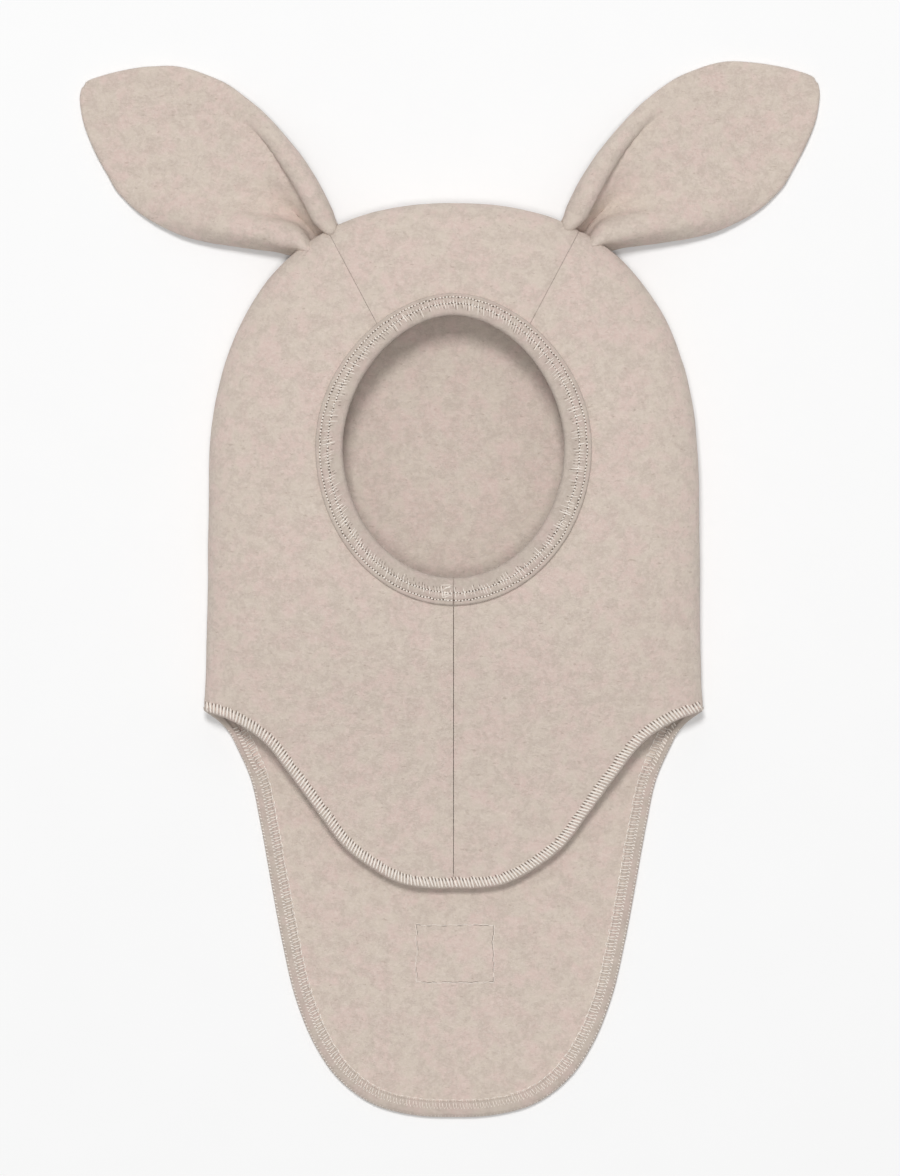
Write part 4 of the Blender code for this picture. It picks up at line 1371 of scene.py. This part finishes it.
class HAT_OT_neck_stitches(bpy.types.Operator):
    """Sew the overlock stitches along the front and back hems, with painted shade between the front hem's
    bars
    """

    bl_idname = "hat.neck_stitches"
    bl_label = "Neck stitches"

    def execute(self, context):
        size = context.scene.hat_stitches
        outside = surface_tree("side_panel_right_cloth", "side_panel_left_cloth", "neck_hem_fold")
        front, painted_shade_beads = bmesh.new(), bmesh.new()
        for place, along, _ in walk(front_hem_line(), size.bar_pitch):
            into = Vector((along.y, -along.x))
            lean = along * (0.0012 + jitter(place, 0.0009))
            low = place + into * (-0.0011 + jitter(place, 0.00035, 3.0)) - lean / 2
            high = low + into * (size.bar_length + jitter(place, 0.0008, 7.0)) + lean
            thick = size.thread * (0.94 + jitter(place, 0.22, 13.0))
            stitch(front, outside, low, high, thick, thick * 0.75)
            # Painted shade: a dark bead between each two bars, from part way up them to the needle row, for
            # the gap between the bars and the needle hole
            beside = along * size.bar_pitch / 2
            worn = 0.66 + jitter(place, 0.14, 11.0)
            stitch(painted_shade_beads, outside, low.lerp(high, worn) + beside, high + beside, 0.00036, 0.00012)
        add_piece("front_hem_stitches", front, [thread_material()])
        add_piece("front_hem_painted_shade", painted_shade_beads, [painted_hole_shade_material()])
        inside = surface_tree("neck_hem_fold", "crown_and_back_panel_cloth")
        back = bmesh.new()
        for i, (place, along, _) in enumerate(walk(back_hem_line(), size.bar_pitch)):
            into = Vector((along.y, -along.x))
            if into.dot(-place) < 0:
                into = -into
            lean = along * (0.0007 if i % 2 else 0.0002)
            worn = 0.55 + 0.45 * smooth_step(abs(place.x) / TIP_HALF_WIDTH * 2.2 - 0.4)
            thick = size.fine_thread * 1.5 * worn
            low = place + into * (0.0016 + jitter(place, 0.0006, 3.0))
            high = place + into * (0.0049 + jitter(place, 0.0005, 7.0)) + lean
            stitch(back, inside, low, high, thick, thick, BACK_LAY_HEIGHT)
            stitch(back, inside, high - along * 0.0007, high + along * 0.0008, thick * 0.9, thick * 0.8,
                   BACK_LAY_HEIGHT)
            slant = along * (0.0006 + jitter(place, 0.0006, 4.0))
            stitch(back, inside, place - into * 0.0018 + slant, place + into * 0.0022 - slant,
                   thick * 1.3, thick * 0.9, BACK_LAY_HEIGHT)
        add_piece("back_hem_stitches", back, [thread_material()])
        return {"FINISHED"}


class HAT_OT_face_stitches(bpy.types.Operator):
    """Sew the two rows of stitches and the looper threads on the face band, with painted shade at the needle
    holes and beside the threads
    """

    bl_idname = "hat.face_stitches"
    bl_label = "Face stitches"

    def execute(self, context):
        size = context.scene.hat_stitches
        tree = surface_tree("face_hem_band")
        threads, painted_shade_beads = bmesh.new(), bmesh.new()
        steps = 720
        angles = [2 * math.pi * (k + 0.5) / steps for k in range(steps)]
        rows = []
        for share in FACE_ROWS:
            rows.append([face_point(a, face_hem_width(a) * share) for a in angles])
        count = round(length_of(rows[0]) / size.face_pitch)
        inner, outer = [picked(row, shares(count)) for row in rows]
        for i in range(count):
            outward = (outer[i] - inner[i]).normalized()
            along = (inner[i + 1] - inner[i]).normalized()
            for line in (inner, outer):
                sway = outward * jitter(line[i], 0.0005, 5.0)
                a, b = line[i] + sway, line[i + 1] + sway
                thick = size.fine_thread * (2.0 + jitter(a, 1.4, 6.0))
                stitch(threads, tree, a.lerp(b, 0.24), a.lerp(b, 0.86), thick, thick)
                # Painted shade of a needle hole: a small dark bead
                painted_hole_shade(painted_shade_beads, tree, a, 0.00040 + jitter(a, 0.00026, 8.0))
            worn = 0.85 + jitter(inner[i], 1.3, 9.0)
            low = inner[i] - outward * (0.0020 + jitter(inner[i], 0.0022, 2.0))
            ahead = size.face_pitch * 0.7 + jitter(inner[i], 0.0009, 4.0)
            high = outer[i] - outward * 0.0007 + along * ahead
            stitch(threads, tree, low, high, size.fine_thread * worn, size.fine_thread * worn)
            # Painted shade: a slim dark line beside most looper threads, for the gap between them
            beside = along * (size.face_pitch / 2 + jitter(low, 0.0004, 1.0))
            if jitter(low, 1.0, 12.0) > 0.05:
                stitch(painted_shade_beads, tree, low + beside, low.lerp(high, 0.5) + beside, 0.00020, 0.00008)
        for k in range(7):
            bar = Vector((-0.0046, -FACE_HEIGHT / 2 - 0.0034 - 0.0010 * k))
            end = bar + Vector((0.0034 + jitter(bar, 0.0014), 0.0007 + jitter(bar, 0.0018, 3.0)))
            stitch(threads, tree, bar + Vector((jitter(bar, 0.0026, 5.0), 0.0)), end, size.fine_thread,
                   size.fine_thread * 0.7)
        top = FACE_HEIGHT / 2 + 0.0003
        stitch(threads, tree, Vector((0.0006, top)), Vector((0.0006, top + 0.0026)), 0.0011, 0.0003)
        add_piece("face_hem_stitches", threads, [thread_material()])
        add_piece("face_hem_painted_shade", painted_shade_beads, [painted_hole_shade_material()])
        return {"FINISHED"}


class HAT_OT_seam_stitches(bpy.types.Operator):
    """Sew the small stitches of the chin seam and the outline of the label place, with a painted shade line
    beside the outline's stitches
    """

    bl_idname = "hat.seam_stitches"
    bl_label = "Seam stitches"

    def execute(self, context):
        size = context.scene.hat_stitches
        tree = surface_tree("side_panel_right_cloth", "side_panel_left_cloth", "crown_and_back_panel_cloth")
        threads, painted_shade_beads = bmesh.new(), bmesh.new()
        top = -FACE_HEIGHT / 2 - FACE_HEM_WIDTH
        bottom = TIP_Y - FRONT_BIB_LENGTH + 0.0085
        line = [Vector((0.0, top)), Vector((0.0, bottom))]
        for place, along, _ in walk(line, CHIN_PITCH):
            shift = Vector((jitter(place, 0.00012), 0.0))
            stitch(threads, tree, place + shift, place + shift + along * 0.0011, size.fine_thread * 0.8,
                   size.fine_thread * 0.5)
        left, right = LABEL_LOW.x, LABEL_HIGH.x
        low, high = LABEL_LOW.y, LABEL_HIGH.y
        corners = [Vector((left, low)), Vector((right, low)), Vector((right, high)), Vector((left, high))]
        for start, end in zip(corners, corners[1:] + corners[:1]):
            for place, along, side in walk([start, end], LABEL_PITCH)[:-1]:
                a = place + side * jitter(place, 0.0006)
                b = a + along * LABEL_PITCH + side * jitter(place, 0.0004, 2.0)
                stitch(threads, tree, a, b, size.fine_thread * 0.7, size.fine_thread * 0.3, LABEL_LAY_HEIGHT)
                # Painted shade: a thin dark line beside most of the label's stitches
                if jitter(place, 1.0, 5.0) > -0.15:
                    beside = side * 0.0003
                    stitch(painted_shade_beads, tree, a + beside, b + beside, 0.00018, 0.00006, LABEL_LAY_HEIGHT)
        add_piece("seam_and_label_stitches", threads, [thread_material()])
        add_piece("label_painted_shade", painted_shade_beads, [painted_hole_shade_material()])
        return {"FINISHED"}


def add_light(name, place, aim, size, power):
    light = bpy.data.lights.new(name, "AREA")
    light.shape = "RECTANGLE"
    light.size, light.size_y = size
    light.energy = power
    lamp = bpy.data.objects.new(name, light)
    bpy.context.scene.collection.objects.link(lamp)
    lamp.location = place
    lamp.rotation_euler = (Vector(aim) - Vector(place)).to_track_quat("-Z", "Y").to_euler()


class HAT_OT_studio(bpy.types.Operator):
    """Set up the floor, the soft lights and the camera"""

    bl_idname = "hat.studio"
    bl_label = "Studio"

    def execute(self, context):
        scene = context.scene
        bm = bmesh.new()
        bmesh.ops.create_grid(bm, x_segments=8, y_segments=8, size=4.0)
        mesh = bpy.data.meshes.new("floor")
        bm.to_mesh(mesh)
        bm.free()
        material, tree, shader = new_material("floor_paper")
        where = node(tree, "ShaderNodeTexCoord").outputs["Object"]
        tone = [channel * 0.985 for channel in scene.hat_colours.floor[:3]] + [1.0]
        paper = mixed(tree, noise_node(tree, where, 30.0), tone, scene.hat_colours.floor)
        tree.links.new(paper, shader.inputs["Base Color"])
        shader.inputs["Roughness"].default_value = 0.9
        mesh.materials.append(material)
        floor = bpy.data.objects.new("floor", mesh)
        scene.collection.objects.link(floor)
        add_light("key_light", (-0.20, 1.45, 4.3), (0.0, 0.0, 0.0), (0.9, 0.9), 104.0)
        add_light("fill_light", (0.0, -0.40, 4.6), (0.0, 0.0, 0.0), (0.9, 0.9), 62.0)
        world = bpy.data.worlds.new("studio")
        world.use_nodes = True
        sky = world.node_tree
        seen = node(sky, "ShaderNodeLightPath").outputs["Is Camera Ray"]
        strength = node(sky, "ShaderNodeMapRange", None, {"Value": seen, "To Min": 0.30, "To Max": 0.92})
        sky.nodes["Background"].inputs["Color"].default_value = (1.0, 1.0, 1.0, 1.0)
        sky.links.new(strength.outputs["Result"], sky.nodes["Background"].inputs["Strength"])
        scene.world = world
        scene.view_settings.view_transform = "Standard"
        camera = bpy.data.cameras.new("camera")
        camera.sensor_fit = "VERTICAL"
        camera.sensor_height = 24.0
        camera.lens = camera.sensor_height * (CAMERA_HEIGHT - VIEW_LEVEL) / VIEW_HEIGHT
        camera.clip_end = 50.0
        eye = bpy.data.objects.new("camera", camera)
        eye.location = (0.0, CAMERA_Y, CAMERA_HEIGHT)
        scene.collection.objects.link(eye)
        scene.camera = eye
        return {"FINISHED"}


class HAT_PT_panel(bpy.types.Panel):
    """Lists the sizes, the colours and the pieces of the hat"""

    bl_idname = "HAT_PT_panel"
    bl_label = "Hood hat"
    bl_space_type = "VIEW_3D"
    bl_region_type = "UI"
    bl_category = "Hood hat"

    def draw(self, context):
        for group in (context.scene.hat_cloth, context.scene.hat_stitches, context.scene.hat_colours):
            box = self.layout.box()
            for key in group.__annotations__:
                box.prop(group, key)
        for operator in OPERATORS:
            self.layout.operator(operator.bl_idname)


GROUPS = {"hat_cloth": HatCloth, "hat_stitches": HatStitches, "hat_colours": HatColours}
OPERATORS = (
    HAT_OT_studio,
    HAT_OT_panels,
    HAT_OT_hems,
    HAT_OT_ears,
    HAT_OT_neck_stitches,
    HAT_OT_face_stitches,
    HAT_OT_seam_stitches,
)


def register():
    for key, group in GROUPS.items():
        bpy.utils.register_class(group)
        setattr(bpy.types.Scene, key, bpy.props.PointerProperty(type=group))
    for operator in OPERATORS:
        bpy.utils.register_class(operator)
    bpy.utils.register_class(HAT_PT_panel)


def unregister():
    bpy.utils.unregister_class(HAT_PT_panel)
    for operator in reversed(OPERATORS):
        bpy.utils.unregister_class(operator)
    for key, group in GROUPS.items():
        delattr(bpy.types.Scene, key)
        bpy.utils.unregister_class(group)


def main():
    register()
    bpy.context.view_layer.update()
    bpy.ops.hat.studio()
    bpy.ops.hat.panels()
    bpy.ops.hat.hems()
    bpy.ops.hat.ears()
    bpy.ops.hat.neck_stitches()
    bpy.ops.hat.face_stitches()
    bpy.ops.hat.seam_stitches()


if __name__ == "__main__":
    main()
